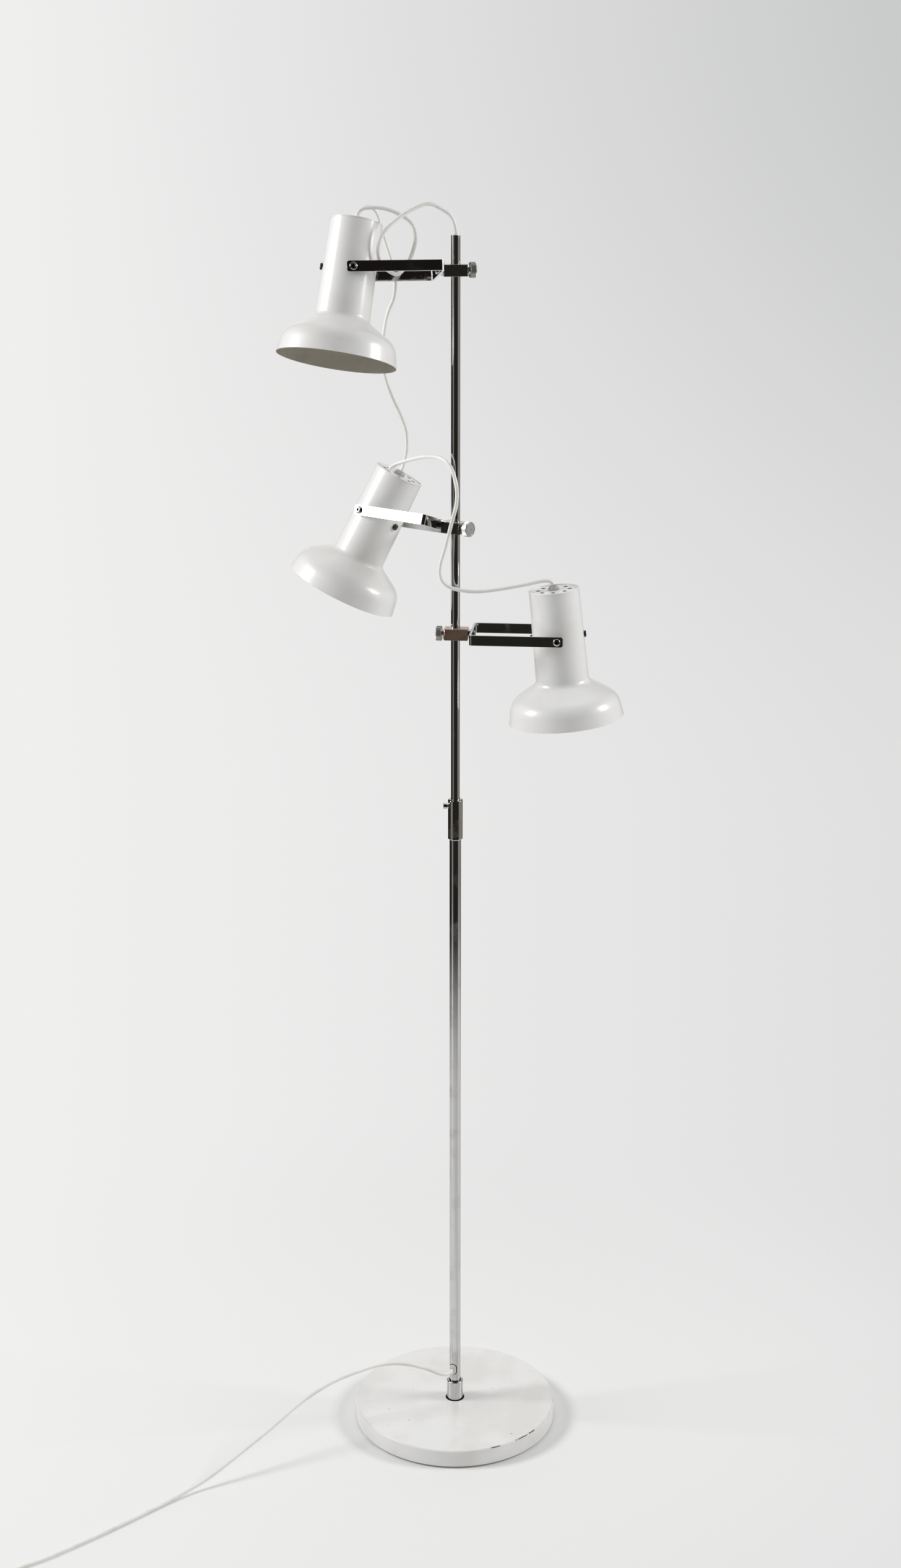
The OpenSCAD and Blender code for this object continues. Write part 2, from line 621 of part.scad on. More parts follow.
// screw with a domed head and a hexagon socket: the shank starts at z = 0, the head at z = len
module button_screw(d, len) {
  r = pivot_head_d / 2;
  cylinder(d = d, h = len);
  translate([0, 0, len]) difference() {
    rotate_extrude() polygon([[0, 0], [r, 0], [r, pivot_head_h * 0.35], [r * 0.9, pivot_head_h * 0.72],
      [r * 0.62, pivot_head_h], [0, pivot_head_h]]);
    translate([0, 0, pivot_head_h * 0.3]) cylinder(d = socket_w / cos(30), h = pivot_head_h, $fn = 6);
  }
}

module fork_screw(i) {
  start = liner_r + 1.5;
  color([0.8, 0.8, 0.82]) on_pole(i) along_x() translate([0, 0, start])
    button_screw(pivot_d, web_x + bar_t + face - start);
}

module pivot_screws(i) {
  start = neck_at(0) - sheet - run - ring_t + 0.4;
  color([0.8, 0.8, 0.82]) on_head(i) both_sides() translate([0, 0, start])
    button_screw(pivot_d, arm_y + bar_t + face - start);
}

module pivot_spacers(i) {
  color([0.85, 0.85, 0.85]) on_head(i) both_sides() translate([0, 0, neck_r + 2 * run]) difference() {
    cylinder(d = spacer_d, h = spacer_h);
    translate([0, 0, -1]) cylinder(d = pivot_d + 2 * run, h = spacer_h + 2);
  }
}

// ---- head ----
module shade(i) {
  color([0.95, 0.95, 0.94]) on_head(i) difference() {
    rotate_extrude($fn = 96)
      polygon(concat(outside, [for (k = [len(inside) - 1 : -1 : 0]) inside[k]]));
    both_sides() cylinder(d = pivot_d + 2 * run, h = neck_r + 5);
    along_x() translate([0, 0, -neck_r - 5]) cylinder(d = side_d + 2 * run, h = 2 * neck_r + 10);
  }
}

module cap(i) {
  r0 = neck_top[0];
  in = r0 - sheet - run;
  hole = nipple_d / 2 + run;
  low = rim_z - cap_skirt;
  color([0.95, 0.95, 0.94]) on_head(i) difference() {
    rotate_extrude($fn = 96) polygon([[hole, cap_z], [in - sheet, cap_z], [in - sheet + 0.6, head_up],
      [r0, head_up], [r0 + 0.45, head_up - 0.45], [r0 + 0.45, rim_z + run], [in, rim_z + run],
      [in, low], [in - sheet, low], [in - sheet, cap_z - sheet], [hole, cap_z - sheet]]);
    for (k = [0 : vents - 1]) rotate([0, 0, 360 * k / vents]) translate([vent_r, 0, cap_z - sheet - 1])
      cylinder(d = vent_d, h = sheet + 2);
  }
}

module gland(i) {
  r = gland_d / 2;
  bore = cord_d / 2 - 0.4;
  low = holder_top - 8;
  color([0.6, 0.6, 0.6]) on_head(i) rotate_extrude() polygon([[bore, low], [nipple_d / 2, low],
    [nipple_d / 2, cap_z + run], [r, cap_z + run], [r, head_up + 0.6], [r * 0.86, head_up + 2.2],
    [r * 0.62, gland_z - 0.5], [r * 0.56, gland_z], [bore, gland_z]]);
}

module lampholder(i) {
  r = holder_d / 2;
  low = holder_top - holder_h;
  neck = nipple_d / 2 + 3;
  color([0.15, 0.15, 0.15]) on_head(i) rotate_extrude() polygon([
    [nipple_d / 2 + run, holder_top], [neck, holder_top], [neck, holder_top - 7],
    [r * 0.8, holder_top - 12], [r, holder_top - 19], [r, low + 25], [r * 0.96, low + 24.5],
    [r * 0.96, low + 23], [r, low + 22.5], [r, low + 15], [r * 0.92, low + 14], [r * 0.92, low + 3],
    [r * 0.88, low], [lamp_d / 2, low], [lamp_d / 2, low + lamp_h], [2, low + lamp_h],
    [2, holder_top - 10], [nipple_d / 2 + run, holder_top - 10]]);
}

module neck_ring(i) {
  r = neck_at(ring_h / 2) - sheet - run;
  color([0.6, 0.6, 0.62]) on_head(i) difference() {
    cylinder(r = r, h = ring_h, center = true);
    cylinder(r = r - ring_t, h = ring_h + 2, center = true);
    both_sides() cylinder(d = pivot_d + 2 * run, h = neck_r + 5);
    along_x() translate([0, 0, -neck_r]) cylinder(d = side_d + 2 * run, h = 2 * neck_r);
  }
}

module side_screws(i) {
  start = neck_at(0) - sheet - run - ring_t + 0.4;
  color([0.75, 0.75, 0.77]) on_head(i) for (s = [0, 180]) rotate([0, 0, s]) along_x() difference() {
    union() {
      translate([0, 0, start]) cylinder(d = side_d, h = neck_r + 1 - start);
      translate([0, 0, neck_r + run]) cylinder(d = side_head_d, h = side_head_h);
    }
    translate([-0.5, -side_head_d, neck_r + side_head_h - 1.1]) cube([1, 2 * side_head_d, 2]);
  }
}

// ---- cords ----
module head_cable(points) { color([0.93, 0.93, 0.9]) tube(smooth(points), cord_d, 8); }
module mains_cord() { color([0.93, 0.93, 0.9]) tube(smooth(mains), cord_d, 8); }
module mains_coil() { color([0.93, 0.93, 0.9]) tube(coil, cord_d, 6); }

// flat two-pin plug: strain relief, body and pins along its own X
module mains_plug() {
  relief = 24;
  w = plug_w / 2;
  h = plug_h / 2;
  color([0.93, 0.93, 0.9]) translate(plug_at) rotate([0, 0, atan2(tail_dir[1], tail_dir[0])]) union() {
    along_x() rotate_extrude() polygon([[0, 0], [cord_d / 2 + 0.6, 0], [cord_d / 2 + 2.2, relief],
      [cord_d / 2 + 2.2, relief + 2], [0, relief + 2]]);
    intersection() {
      translate([relief, 0, -h]) linear_extrude(plug_h) polygon([[0, -w * 0.4], [plug_l * 0.35, -w * 0.86],
        [plug_l * 0.8, -w], [plug_l, -w * 0.78], [plug_l, w * 0.78], [plug_l * 0.8, w],
        [plug_l * 0.35, w * 0.86], [0, w * 0.4]]);
      rotate([90, 0, 0]) translate([relief, 0, -w - 1]) linear_extrude(plug_w + 2) polygon([[0, -h * 0.75],
        [plug_l * 0.3, -h], [plug_l - 1, -h], [plug_l, -h + 1], [plug_l, h - 1], [plug_l - 1, h],
        [plug_l * 0.3, h], [0, h * 0.75]]);
    }
    for (s = [-1, 1]) translate([relief + plug_l - 1, s * pin_gap / 2, 0]) along_x()
      rotate_extrude() polygon([[0, 0], [pin_d / 2, 0], [pin_d / 2, pin_l], [pin_d / 2 - 0.8, pin_l + 1],
        [0, pin_l + 1]]);
  }
}

base_felt();
base_plate();
foot_washer();
foot_nut();
foot_ferrule();
lower_tube();
cord_inlet();
pole_sleeve();
sleeve_screw();
guide_bush();
upper_tube();
top_bush();
liner(0);  // liner_1
block(0);  // block_1
knob(0);  // knob_1
fork(0);  // fork_1
roll_washer(0);  // roll_washer_1
fork_screw(0);  // fork_screw_1
pivot_screws(0);  // pivot_screws_1
pivot_spacers(0);  // pivot_spacers_1
shade(0);  // shade_1
cap(0);  // cap_1
gland(0);  // gland_1
lampholder(0);  // lampholder_1
neck_ring(0);  // neck_ring_1
side_screws(0);  // side_screws_1
liner(1);  // liner_2
block(1);  // block_2
knob(1);  // knob_2
fork(1);  // fork_2
roll_washer(1);  // roll_washer_2
fork_screw(1);  // fork_screw_2
pivot_screws(1);  // pivot_screws_2
pivot_spacers(1);  // pivot_spacers_2
shade(1);  // shade_2
cap(1);  // cap_2
gland(1);  // gland_2
lampholder(1);  // lampholder_2
neck_ring(1);  // neck_ring_2
side_screws(1);  // side_screws_2
liner(2);  // liner_3
block(2);  // block_3
knob(2);  // knob_3
fork(2);  // fork_3
roll_washer(2);  // roll_washer_3
fork_screw(2);  // fork_screw_3
pivot_screws(2);  // pivot_screws_3
pivot_spacers(2);  // pivot_spacers_3
shade(2);  // shade_3
cap(2);  // cap_3
gland(2);  // gland_3
lampholder(2);  // lampholder_3
neck_ring(2);  // neck_ring_3
side_screws(2);  // side_screws_3
head_cable(cable_1);  // head_cable_1
head_cable(cable_2);  // head_cable_2
head_cable(cable_3);  // head_cable_3
mains_cord();
mains_coil();
mains_plug();
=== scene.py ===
from math import atan2, copysign, cos, hypot, pi, radians, sin, tan, tau

import bmesh
import bpy
from mathutils import Matrix, Vector


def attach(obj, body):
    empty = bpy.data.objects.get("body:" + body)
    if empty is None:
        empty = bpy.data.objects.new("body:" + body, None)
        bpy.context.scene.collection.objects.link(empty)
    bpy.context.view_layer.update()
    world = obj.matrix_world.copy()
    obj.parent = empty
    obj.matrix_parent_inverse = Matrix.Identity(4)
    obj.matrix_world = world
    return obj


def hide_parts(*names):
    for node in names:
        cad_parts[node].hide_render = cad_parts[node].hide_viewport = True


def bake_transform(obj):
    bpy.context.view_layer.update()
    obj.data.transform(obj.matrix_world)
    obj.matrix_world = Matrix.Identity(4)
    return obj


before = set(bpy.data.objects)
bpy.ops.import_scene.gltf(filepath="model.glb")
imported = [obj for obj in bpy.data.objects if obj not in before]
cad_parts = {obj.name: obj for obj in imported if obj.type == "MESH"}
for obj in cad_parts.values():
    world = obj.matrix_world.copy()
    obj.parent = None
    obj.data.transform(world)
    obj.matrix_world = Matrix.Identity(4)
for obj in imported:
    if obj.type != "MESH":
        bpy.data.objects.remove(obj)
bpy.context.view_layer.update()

# ---- Studio ----
# The lamp stands on pale seamless paper that runs up behind it. A softbox stands high on each
# side and a third hangs overhead. All round the paper the room is dark, and that is what most
# of the chrome mirrors, with a dim flat beside the camera on each side as its only streaks.
CAMERA_AT = (-0.0066, -2.983, 1.847)
LIT = (0.868, 0.866, 0.862)
SHADED = (0.595, 0.598, 0.6)
NEAR_PAPER = (0.74, 0.735, 0.725)
FLAT = (0.31, 0.305, 0.29)
BOARDS = (0.024, 0.022, 0.019)
ROOM = (0.012, 0.01, 0.009)


def put(name, data):
    """An object of the data, in the scene."""
    made = bpy.data.objects.new(name, data)
    bpy.context.collection.objects.link(made)
    return made


def made_of(name, bm, materials, crease=0):
    """The object of a bmesh, smooth but for edges sharper than a crease that is given."""
    for face in bm.faces:
        face.smooth = True
    mesh = bpy.data.meshes.new(name)
    bm.to_mesh(mesh)
    bm.free()
    if crease:
        mesh.set_sharp_from_angle(angle=radians(crease))
    for m in materials:
        mesh.materials.append(m)
    return put(name, mesh)


camera = put("camera", bpy.data.cameras.new("camera"))
camera.data.lens = 52.545
camera.data.sensor_width = 36
camera.location = CAMERA_AT
camera.rotation_euler = (radians(73.595), 0, 0)
bpy.context.scene.camera = camera
bpy.context.scene.view_settings.view_transform = "Standard"


def wired(tree, sockets, sources):
    """Gives each socket its source, which is a value or another node's socket. None leaves it."""
    for socket, source in zip(sockets, sources):
        if isinstance(source, bpy.types.NodeSocket):
            tree.links.new(source, socket)
        elif source is not None:
            colour = socket.type == "RGBA" and len(source) == 3
            socket.default_value = (*source, 1) if colour else source


def node(tree, kind, *sources, **settings):
    """A shader node with its settings and with the sources of its inputs in their order."""
    n = tree.nodes.new("ShaderNode" + kind)
    for key, value in settings.items():
        setattr(n, key, value)
    wired(tree, n.inputs, sources)
    return n


def sums(tree, operation, *sources):
    return node(tree, "Math", *sources, operation=operation).outputs[0]


def times(tree, *sources):
    return sums(tree, "MULTIPLY", *sources)


def ramp(tree, value, low, high, to_low=0.0, to_high=1.0):
    """The value taken from low..high to to_low..to_high with soft ends."""
    return node(tree, "MapRange", value, low, high, to_low, to_high,
                interpolation_type="SMOOTHSTEP").outputs[0]


def noise(tree, at, scale, detail=2.0, *roughness):
    return node(tree, "TexNoise", at, None, scale, detail, *roughness).outputs[0]


def split(tree, vector):
    return node(tree, "SeparateXYZ", vector).outputs


def mixed(tree, factor, a, b):
    """One colour over another."""
    n = node(tree, "Mix", factor, data_type="RGBA")
    wired(tree, n.inputs[6:8], (a, b))
    return n.outputs[2]


def seen_backdrop(tree):
    """1 on rays that see the backdrop as such: from the camera, in metal and through glass."""
    path = node(tree, "LightPath").outputs
    seen = sums(tree, "MAXIMUM", path["Is Camera Ray"], path["Is Glossy Ray"])
    return sums(tree, "MAXIMUM", seen, path["Is Transmission Ray"])


def backdrop_tone(tree, way):
    """The backdrop's colour in a direction seen from the camera: darkest at the upper right."""
    part = split(tree, way)
    right = node(tree, "MapRange", part["X"], -0.18, 0.19).outputs[0]
    high = ramp(tree, part["Z"], -0.30, 0.06, 0.44, 1.05)
    low = ramp(tree, part["Z"], -0.48, -0.60, 0.0, 0.06)
    dark = sums(tree, "ADD", times(tree, right, high), low)
    return mixed(tree, dark, LIT, SHADED)


def round_the_lamp(tree, x, y):
    """Masks of what chrome sees round the lamp: the flats beside the camera, the nearer parts of
    them, and the strip of backdrop straight behind the lamp."""
    turn = sums(tree, "ARCTAN2", x, times(tree, y, -1.0))
    left = times(tree, ramp(tree, turn, -1.42, -1.18), ramp(tree, turn, -0.62, -0.92))
    right = times(tree, ramp(tree, turn, 0.85, 1.12), ramp(tree, turn, 2.75, 2.30))
    close = times(tree, right, ramp(tree, turn, 2.0, 1.6))
    behind = ramp(tree, sums(tree, "ABSOLUTE", turn), 2.80, 2.95)
    return sums(tree, "ADD", left, right), sums(tree, "ADD", left, close), behind


world = bpy.data.worlds.new("studio")
bpy.context.scene.world = world
world.use_nodes = True
sky = world.node_tree
sky.nodes.clear()
seen_way = node(sky, "TexCoord").outputs["Generated"]
part = split(sky, seen_way)
backdrop = backdrop_tone(sky, seen_way)
flats, _, behind = round_the_lamp(sky, part["X"], part["Y"])
mirrored = mixed(sky, behind, mixed(sky, flats, ROOM, FLAT), backdrop)
backdrop = mixed(sky, node(sky, "LightPath").outputs["Is Glossy Ray"], backdrop, mirrored)
fill = mixed(sky, ramp(sky, part["Y"], 0.1, -0.5), (0.86, 0.86, 0.86), (0.46, 0.46, 0.46))
fill = mixed(sky, ramp(sky, part["Z"], 0.25, 0.65), fill, (0.37, 0.37, 0.37))
light = node(sky, "Background", mixed(sky, seen_backdrop(sky), fill, backdrop), 1.0)
sky.links.new(light.outputs[0], node(sky, "OutputWorld").inputs[0])


def softbox(name, place, aim, size, watts):
    lamp = put(name, bpy.data.lights.new(name, "AREA"))
    lamp.data.shape = "RECTANGLE"
    lamp.data.size, lamp.data.size_y = size
    lamp.data.energy = watts
    lamp.location = place
    lamp.rotation_euler = (Vector(aim) - Vector(place)).to_track_quat("-Z", "Y").to_euler()


softbox("softbox_left", (-2.6, -0.15, 2.4), (0, 0, 1), (1, 1), 59)
softbox("softbox_right", (2.7, -0.1, 2.35), (0, 0, 1), (1, 1), 45)
softbox("softbox_top", (0, 0.6, 3.6), (0, 0, 0), (2.4, 2.0), 6)

paper = bpy.data.materials.new("seamless_paper")
paper.use_nodes = True
tree = paper.node_tree
tree.nodes.clear()
spot = node(tree, "TexCoord").outputs["Object"]
part = split(tree, spot)
across = times(tree, part["X"], part["X"])
away = sums(tree, "SQRT", sums(tree, "ADD", across, times(tree, part["Y"], part["Y"])))
way = node(tree, "VectorMath", spot, CAMERA_AT, operation="SUBTRACT").outputs[0]
way = node(tree, "VectorMath", way, operation="NORMALIZE").outputs[0]
flats, close, behind = round_the_lamp(tree, part["X"], part["Y"])
edge = sums(tree, "SUBTRACT", away, times(tree, close, 0.35))
beyond = mixed(tree, flats, BOARDS, FLAT)
mirrored = mixed(tree, ramp(tree, edge, 1.05, 2.15), mixed(tree, close, NEAR_PAPER, LIT), beyond)
backdrop = backdrop_tone(tree, way)
mirrored = mixed(tree, behind, mirrored, backdrop)
far = mixed(tree, node(tree, "LightPath").outputs["Is Glossy Ray"], backdrop, mirrored)
matt = node(tree, "BsdfDiffuse", (0.83, 0.83, 0.825, 1))
even = node(tree, "Emission", far, 1.0)
share = times(tree, ramp(tree, away, 0.20, 1.1), seen_backdrop(tree))
shown = node(tree, "MixShader", share, matt.outputs[0], even.outputs[0])
tree.links.new(shown.outputs[0], node(tree, "OutputMaterial").inputs[0])

bm = bmesh.new()
bmesh.ops.create_grid(bm, x_segments=1, y_segments=1, size=120)
made_of("paper_floor", bm, [paper])

# ---- Base ----
# A heavy iron disc, turned and painted white, on a felt ring. The pole's ferrule stands in a
# shallow seat in its top and is drawn down from below by a nut on its threaded shank. The paint
# is chipped along the front of the top edge.
FELT, BASE_TOP, BASE_R = 0.0025, 0.0275, 0.145
FERRULE_Z, FERRULE_R, TUBE_R, SEAT_R = 0.0215, 0.0117, 0.008, 0.0134
SNUG = 0.00005  # the room left between pieces that fit each other


def eased(corners, steps=5):
    """The outline through the corners; a corner given with a third number is rounded by it. A
    point on the straight beside each rounding keeps the shading of that straight true."""
    count, spots = len(corners), [Vector(corner[:2]) for corner in corners]
    trims = []
    for i, corner in enumerate(corners):
        a, b = spots[i - 1] - spots[i], spots[(i + 1) % count] - spots[i]
        trims.append(corner[2] / tan(a.angle(b) / 2) if len(corner) > 2 else 0)
    line = []
    for i, (p, corner) in enumerate(zip(spots, corners)):
        if len(corner) < 3:
            line.append(p)
            continue
        a = (spots[i - 1] - p).normalized()
        b = (spots[(i + 1) % count] - p).normalized()
        before = (spots[i - 1] - p).length - trims[i] - trims[i - 1]
        after = (spots[(i + 1) % count] - p).length - trims[i] - trims[(i + 1) % count]
        centre = p + (a + b).normalized() * (corner[2] / sin(a.angle(b) / 2))
        start = p + a * trims[i] - centre
        sweep = start.angle_signed(p + b * trims[i] - centre)
        if before > 0.001:
            line.append(p + a * (trims[i] + 0.0003))
        for k in range(steps + 1):
            line.append(centre + Matrix.Rotation(-sweep * k / steps, 2) @ start)
        if after > 0.001:
            line.append(p + b * (trims[i] + 0.0003))
    return line


def welded(bm, gap):
    """The mesh with its points nearer than the gap made one, and its faces turned outwards."""
    bmesh.ops.remove_doubles(bm, verts=bm.verts, dist=gap)
    bmesh.ops.recalc_face_normals(bm, faces=bm.faces)
    return bm


def turned(corners, steps=96, closed=True):
    """The eased outline, as radius and height, turned once round the Z axis. It closes on
    itself, unless it starts on the axis and ends there."""
    bm = bmesh.new()
    points = [bm.verts.new((max(r, 0), 0, z)) for r, z in eased(corners)]
    closed = closed and corners[0][0] > 1e-6
    lines = [bm.edges.new(pair) for pair in zip(points, points[1:] + points[:1] * closed)]
    bmesh.ops.spin(bm, geom=points + lines, cent=(0, 0, 0), axis=(0, 0, 1), dvec=(0, 0, 0),
                   angle=tau, steps=steps, use_merge=True)
    return welded(bm, 2e-6)


def turned_by(degrees, axis):
    return Matrix.Rotation(radians(degrees), 4, axis)


def joined(*parts):
    """One bmesh of several, each given with its own matrix."""
    whole = bmesh.new()
    for bm, matrix in parts:
        bm.transform(matrix)
        mesh = bpy.data.meshes.new("part")
        bm.to_mesh(mesh)
        bm.free()
        whole.from_mesh(mesh)
        bpy.data.meshes.remove(mesh)
    return whole


HERE = Matrix.Identity(4)


def piece(name, bm, body, replaced, materials, place=HERE, crease=35, ease=0, inner=None):
    """A finished piece. Each point keeps its own place on the piece for the material; with ease
    its edges are rounded, and the faces that inner picks get the second material."""
    own = bm.verts.layers.float_vector.new("place")
    for v in bm.verts:
        v[own] = v.co
    bmesh.ops.recalc_face_normals(bm, faces=bm.faces)
    if inner:
        for face in bm.faces:
            face.material_index = int(inner(face.calc_center_median(), face.normal))
    bm.transform(place)
    made = made_of(name, bm, materials, 0 if ease else crease)
    if ease:
        edge = made.modifiers.new("eased_edges", "BEVEL")
        edge.width, edge.segments, edge.limit_method = ease, 3, "ANGLE"
        edge.angle_limit, edge.harden_normals = radians(crease), True
    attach(made, body)
    if replaced:
        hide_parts(replaced)
    return made


def within(r, low, high):
    """Picks the faces nearer to the axis than r, from low to high."""
    return lambda c, normal: hypot(c.x, c.y) < r and low < c.z < high


def group(name, inputs, outputs):
    """An effect that several materials share, with its own named sockets."""
    g = bpy.data.node_groups.new(name, "ShaderNodeTree")
    for label in inputs:
        kind = "Vector" if label == "Vector" else "Float"
        g.interface.new_socket(label, in_out="INPUT", socket_type="NodeSocket" + kind)
    for label in outputs:
        g.interface.new_socket(label, in_out="OUTPUT", socket_type="NodeSocketFloat")
    return g, g.nodes.new("NodeGroupInput").outputs, g.nodes.new("NodeGroupOutput").inputs


def placed(tree, shared, *sources):
    """A shared effect placed in a material with its own values."""
    n = tree.nodes.new("ShaderNodeGroup")
    n.node_tree = shared
    wired(tree, n.inputs, sources)
    return n.outputs


def material(name, own=True, **values):
    """A Principled material, read at the points' own places or else at Object coordinates."""
    m = bpy.data.materials.new(name)
    m.use_nodes = True
    tree = m.node_tree
    shader = tree.nodes["Principled BSDF"].inputs
    for key, value in values.items():
        shader[key.replace("_", " ")].default_value = value
    if own:
        at = node(tree, "Attribute", attribute_name="place").outputs["Vector"]
    else:
        at = node(tree, "TexCoord").outputs["Object"]
    return m, tree, shader, at


def surfaced(tree, shader, colour, roughness=None, height=None, depth=0.00005, strength=1.0):
    """Gives a material its colour, and its roughness and relief where it has them."""
    tree.links.new(colour, shader["Base Color"])
    if roughness is not None:
        tree.links.new(roughness, shader["Roughness"])
    if height is not None:
        bump = node(tree, "Bump", strength, depth)
        tree.links.new(height, bump.inputs["Height"])
        tree.links.new(bump.outputs[0], shader["Normal"])


# soft patches where handling and age have changed a surface
smudges, given, out = group("smudges", ("Vector", "Scale"), ("Patches",))
patches = ramp(smudges, noise(smudges, given["Vector"], given["Scale"], 5.0), 0.42, 0.68)
smudges.links.new(patches, out[0])

# the skin of sprayed paint: orange peel, a few dust nibs and tiny dark specks
paint_skin, given, out = group("paint_skin", ("Vector",), ("Height", "Dark"))
peel = noise(paint_skin, given["Vector"], 420.0, 2.0, 0.45)
nibs = node(paint_skin, "TexVoronoi", given["Vector"], None, 95.0).outputs
nib = ramp(paint_skin, nibs["Distance"], 0.055, 0.02)
pick = split(paint_skin, nibs["Color"])
few = ramp(paint_skin, pick["X"], 0.86, 0.90)
paint_skin.links.new(sums(paint_skin, "ADD", times(paint_skin, peel, 0.35),
                          times(paint_skin, nib, few)), out["Height"])
paint_skin.links.new(times(paint_skin, nib, ramp(paint_skin, pick["Y"], 0.93, 0.95)), out["Dark"])


def sprayed(name, tone, aged):
    """White paint on metal. Gives back the material and its tone, for a piece to add to it."""
    m, tree, shader, at = material(name, Coat_Weight=0.32, Coat_Roughness=0.13)
    age = placed(tree, smudges, at, 14.0)[0]
    skin = placed(tree, paint_skin, at)
    tint = mixed(tree, skin["Dark"], mixed(tree, age, tone, aged), (0.10, 0.085, 0.07))
    surfaced(tree, shader, tint, ramp(tree, age, 0, 1, 0.32, 0.44), skin["Height"], 0.00006, 0.8)
    return m, tree, shader, at, tint


# the paint's chips: a broken dark line on the front edge at the right, and a few knocks elsewhere
base_paint, tree, shader, at, tint = sprayed("base_paint", (0.80, 0.795, 0.785),
                                             (0.74, 0.725, 0.70))
part = split(tree, at)
turn = sums(tree, "ARCTAN2", part["X"], times(tree, part["Y"], -1.0))
ragged = noise(tree, at, 900.0, 3.0, 0.6)
lumps = noise(tree, at, 60.0)
wander = times(tree, sums(tree, "SUBTRACT", ragged, 0.5), 0.0012)
wander = sums(tree, "ADD", part["Z"], wander)
line = ramp(tree, sums(tree, "ABSOLUTE", sums(tree, "SUBTRACT", wander, 0.0267)), 0.0006, 0.0004)
breaks = ramp(tree, noise(tree, at, 120.0, 3.0, 0.6), 0.40, 0.44)
spells = [times(tree, ramp(tree, turn, a, a + 0.02), ramp(tree, turn, b, b - 0.02))
          for a, b in ((0.35, 0.47), (0.63, 0.92))]
line = times(tree, line, times(tree, breaks, sums(tree, "ADD", *spells)))
torn = node(tree, "CombineXYZ", times(tree, ragged, 0.0045),
            times(tree, lumps, 0.004), times(tree, ragged, 0.003)).outputs[0]
torn = node(tree, "VectorMath", at, torn, operation="ADD").outputs[0]
knock = 0.0
for flat, across, share, above in (("2D", 34.0, 0.70, 1), ("3D", 75.0, 0.55, 0)):
    knocks = node(tree, "TexVoronoi", torn, None, across, voronoi_dimensions=flat).outputs
    pick = split(tree, knocks["Color"])
    size = ramp(tree, pick["Y"], 0.0, 1.0, 0.012, 0.04)
    spot = sums(tree, "LESS_THAN", knocks["Distance"], size)
    spot = times(tree, spot, ramp(tree, pick["X"], share, share + 0.01))
    on_top = ramp(tree, part["Z"], 0.0268, 0.0272, 1 - above, above)
    knock = sums(tree, "MAXIMUM", knock, times(tree, spot, on_top))
knock = times(tree, knock, ramp(tree, lumps, 0.3, 0.7, 0.35, 0.9))
chips = sums(tree, "MAXIMUM", line, knock)
surfaced(tree, shader, mixed(tree, chips, tint, (0.085, 0.072, 0.06)),
         ramp(tree, chips, 0, 1, 0.32, 0.75))
tree.links.new(ramp(tree, chips, 0, 1, 0.32, 0.0), shader["Coat Weight"])


def mottled(name, dark, pale, scale, depth, low=0.4, detail=4.0, fine=0.6, **values):
    """A dull material that changes from dark to pale with its own grain."""
    m, tree, shader, at = material(name, **values)
    grain = noise(tree, at, scale, detail, fine)
    tone = mixed(tree, ramp(tree, grain, low, 0.7), dark, pale)
    surfaced(tree, shader, tone, None, grain, depth)
    return m, tree, shader, grain


# painted shade: a near-black mottled material put on the walls of gaps and recesses where shade
# falls
painted_gap_shade = mottled("painted_gap_shade", (0.02, 0.018, 0.016), (0.045, 0.036, 0.03), 300.0, 0.0001,
                    Roughness=0.7)[0]

disc = turned([(0.0062, FELT + 0.012), (0.022, FELT + 0.012), (0.022, FELT, 0.0004),
               (BASE_R, FELT, 0.0008), (BASE_R, BASE_TOP, 0.0025), (SEAT_R, BASE_TOP, 0.0006),
               (SEAT_R, FERRULE_Z), (0.0062, FERRULE_Z)], steps=192)
# the walls of the ferrule's seat take the painted shade
piece("base_disc", disc, "stand", "base_plate", [base_paint, painted_gap_shade],
      inner=within(SEAT_R + 0.0002, FERRULE_Z - 0.0005, BASE_TOP - 0.0003))

felt = mottled("base_felt", (0.012, 0.012, 0.012), (0.055, 0.053, 0.05), 1500.0, 0.0004, low=0.35,
               fine=0.7, own=False, Roughness=0.95, Sheen_Weight=0.4)[0]


def of_cad(name, m):
    """Gives a CAD node that shows as it is its material."""
    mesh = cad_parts[name].data
    mesh.materials.clear()
    mesh.materials.append(m)


of_cad("base_felt", felt)

# the skin of plated metal: cloudy haze, hair scratches and a few pits
plating, given, out = group("plating", ("Vector", "Wear"), ("Haze", "Height"))
cloud = noise(plating, given["Vector"], 35.0, 6.0, 0.6)
hairs = node(plating, "Mapping", given["Vector"], None, (0.3, 0.2, 0.1), (900.0, 900.0, 30.0))
hair = ramp(plating, noise(plating, hairs.outputs[0], 1.0), 0.66, 0.74)
pits = node(plating, "TexVoronoi", given["Vector"], None, 210.0).outputs
pit = times(plating, ramp(plating, pits["Distance"], 0.10, 0.04),
           ramp(plating, split(plating, pits["Color"])["X"], 0.93, 0.95))
haze = times(plating, ramp(plating, cloud, 0.45, 0.72), given["Wear"])
marks = times(plating, sums(plating, "MAXIMUM", times(plating, hair, 0.3), pit), given["Wear"])
plating.links.new(sums(plating, "MAXIMUM", haze, marks), out["Haze"])
plating.links.new(sums(plating, "SUBTRACT", 1.0, marks), out["Height"])


def plated(name, tone, dull, smooth, rough, wear=1.0, own=True, metal=1.0):
    """A plated or polished metal, from its clean tone and roughness to the hazy ones."""
    m, tree, shader, at = material(name, own=own, Metallic=metal)
    skin = placed(tree, plating, at, wear)
    surfaced(tree, shader, mixed(tree, skin["Haze"], tone, dull),
             ramp(tree, skin["Haze"], 0, 1, smooth, rough), skin["Height"], 0.00002, 0.6)
    return m


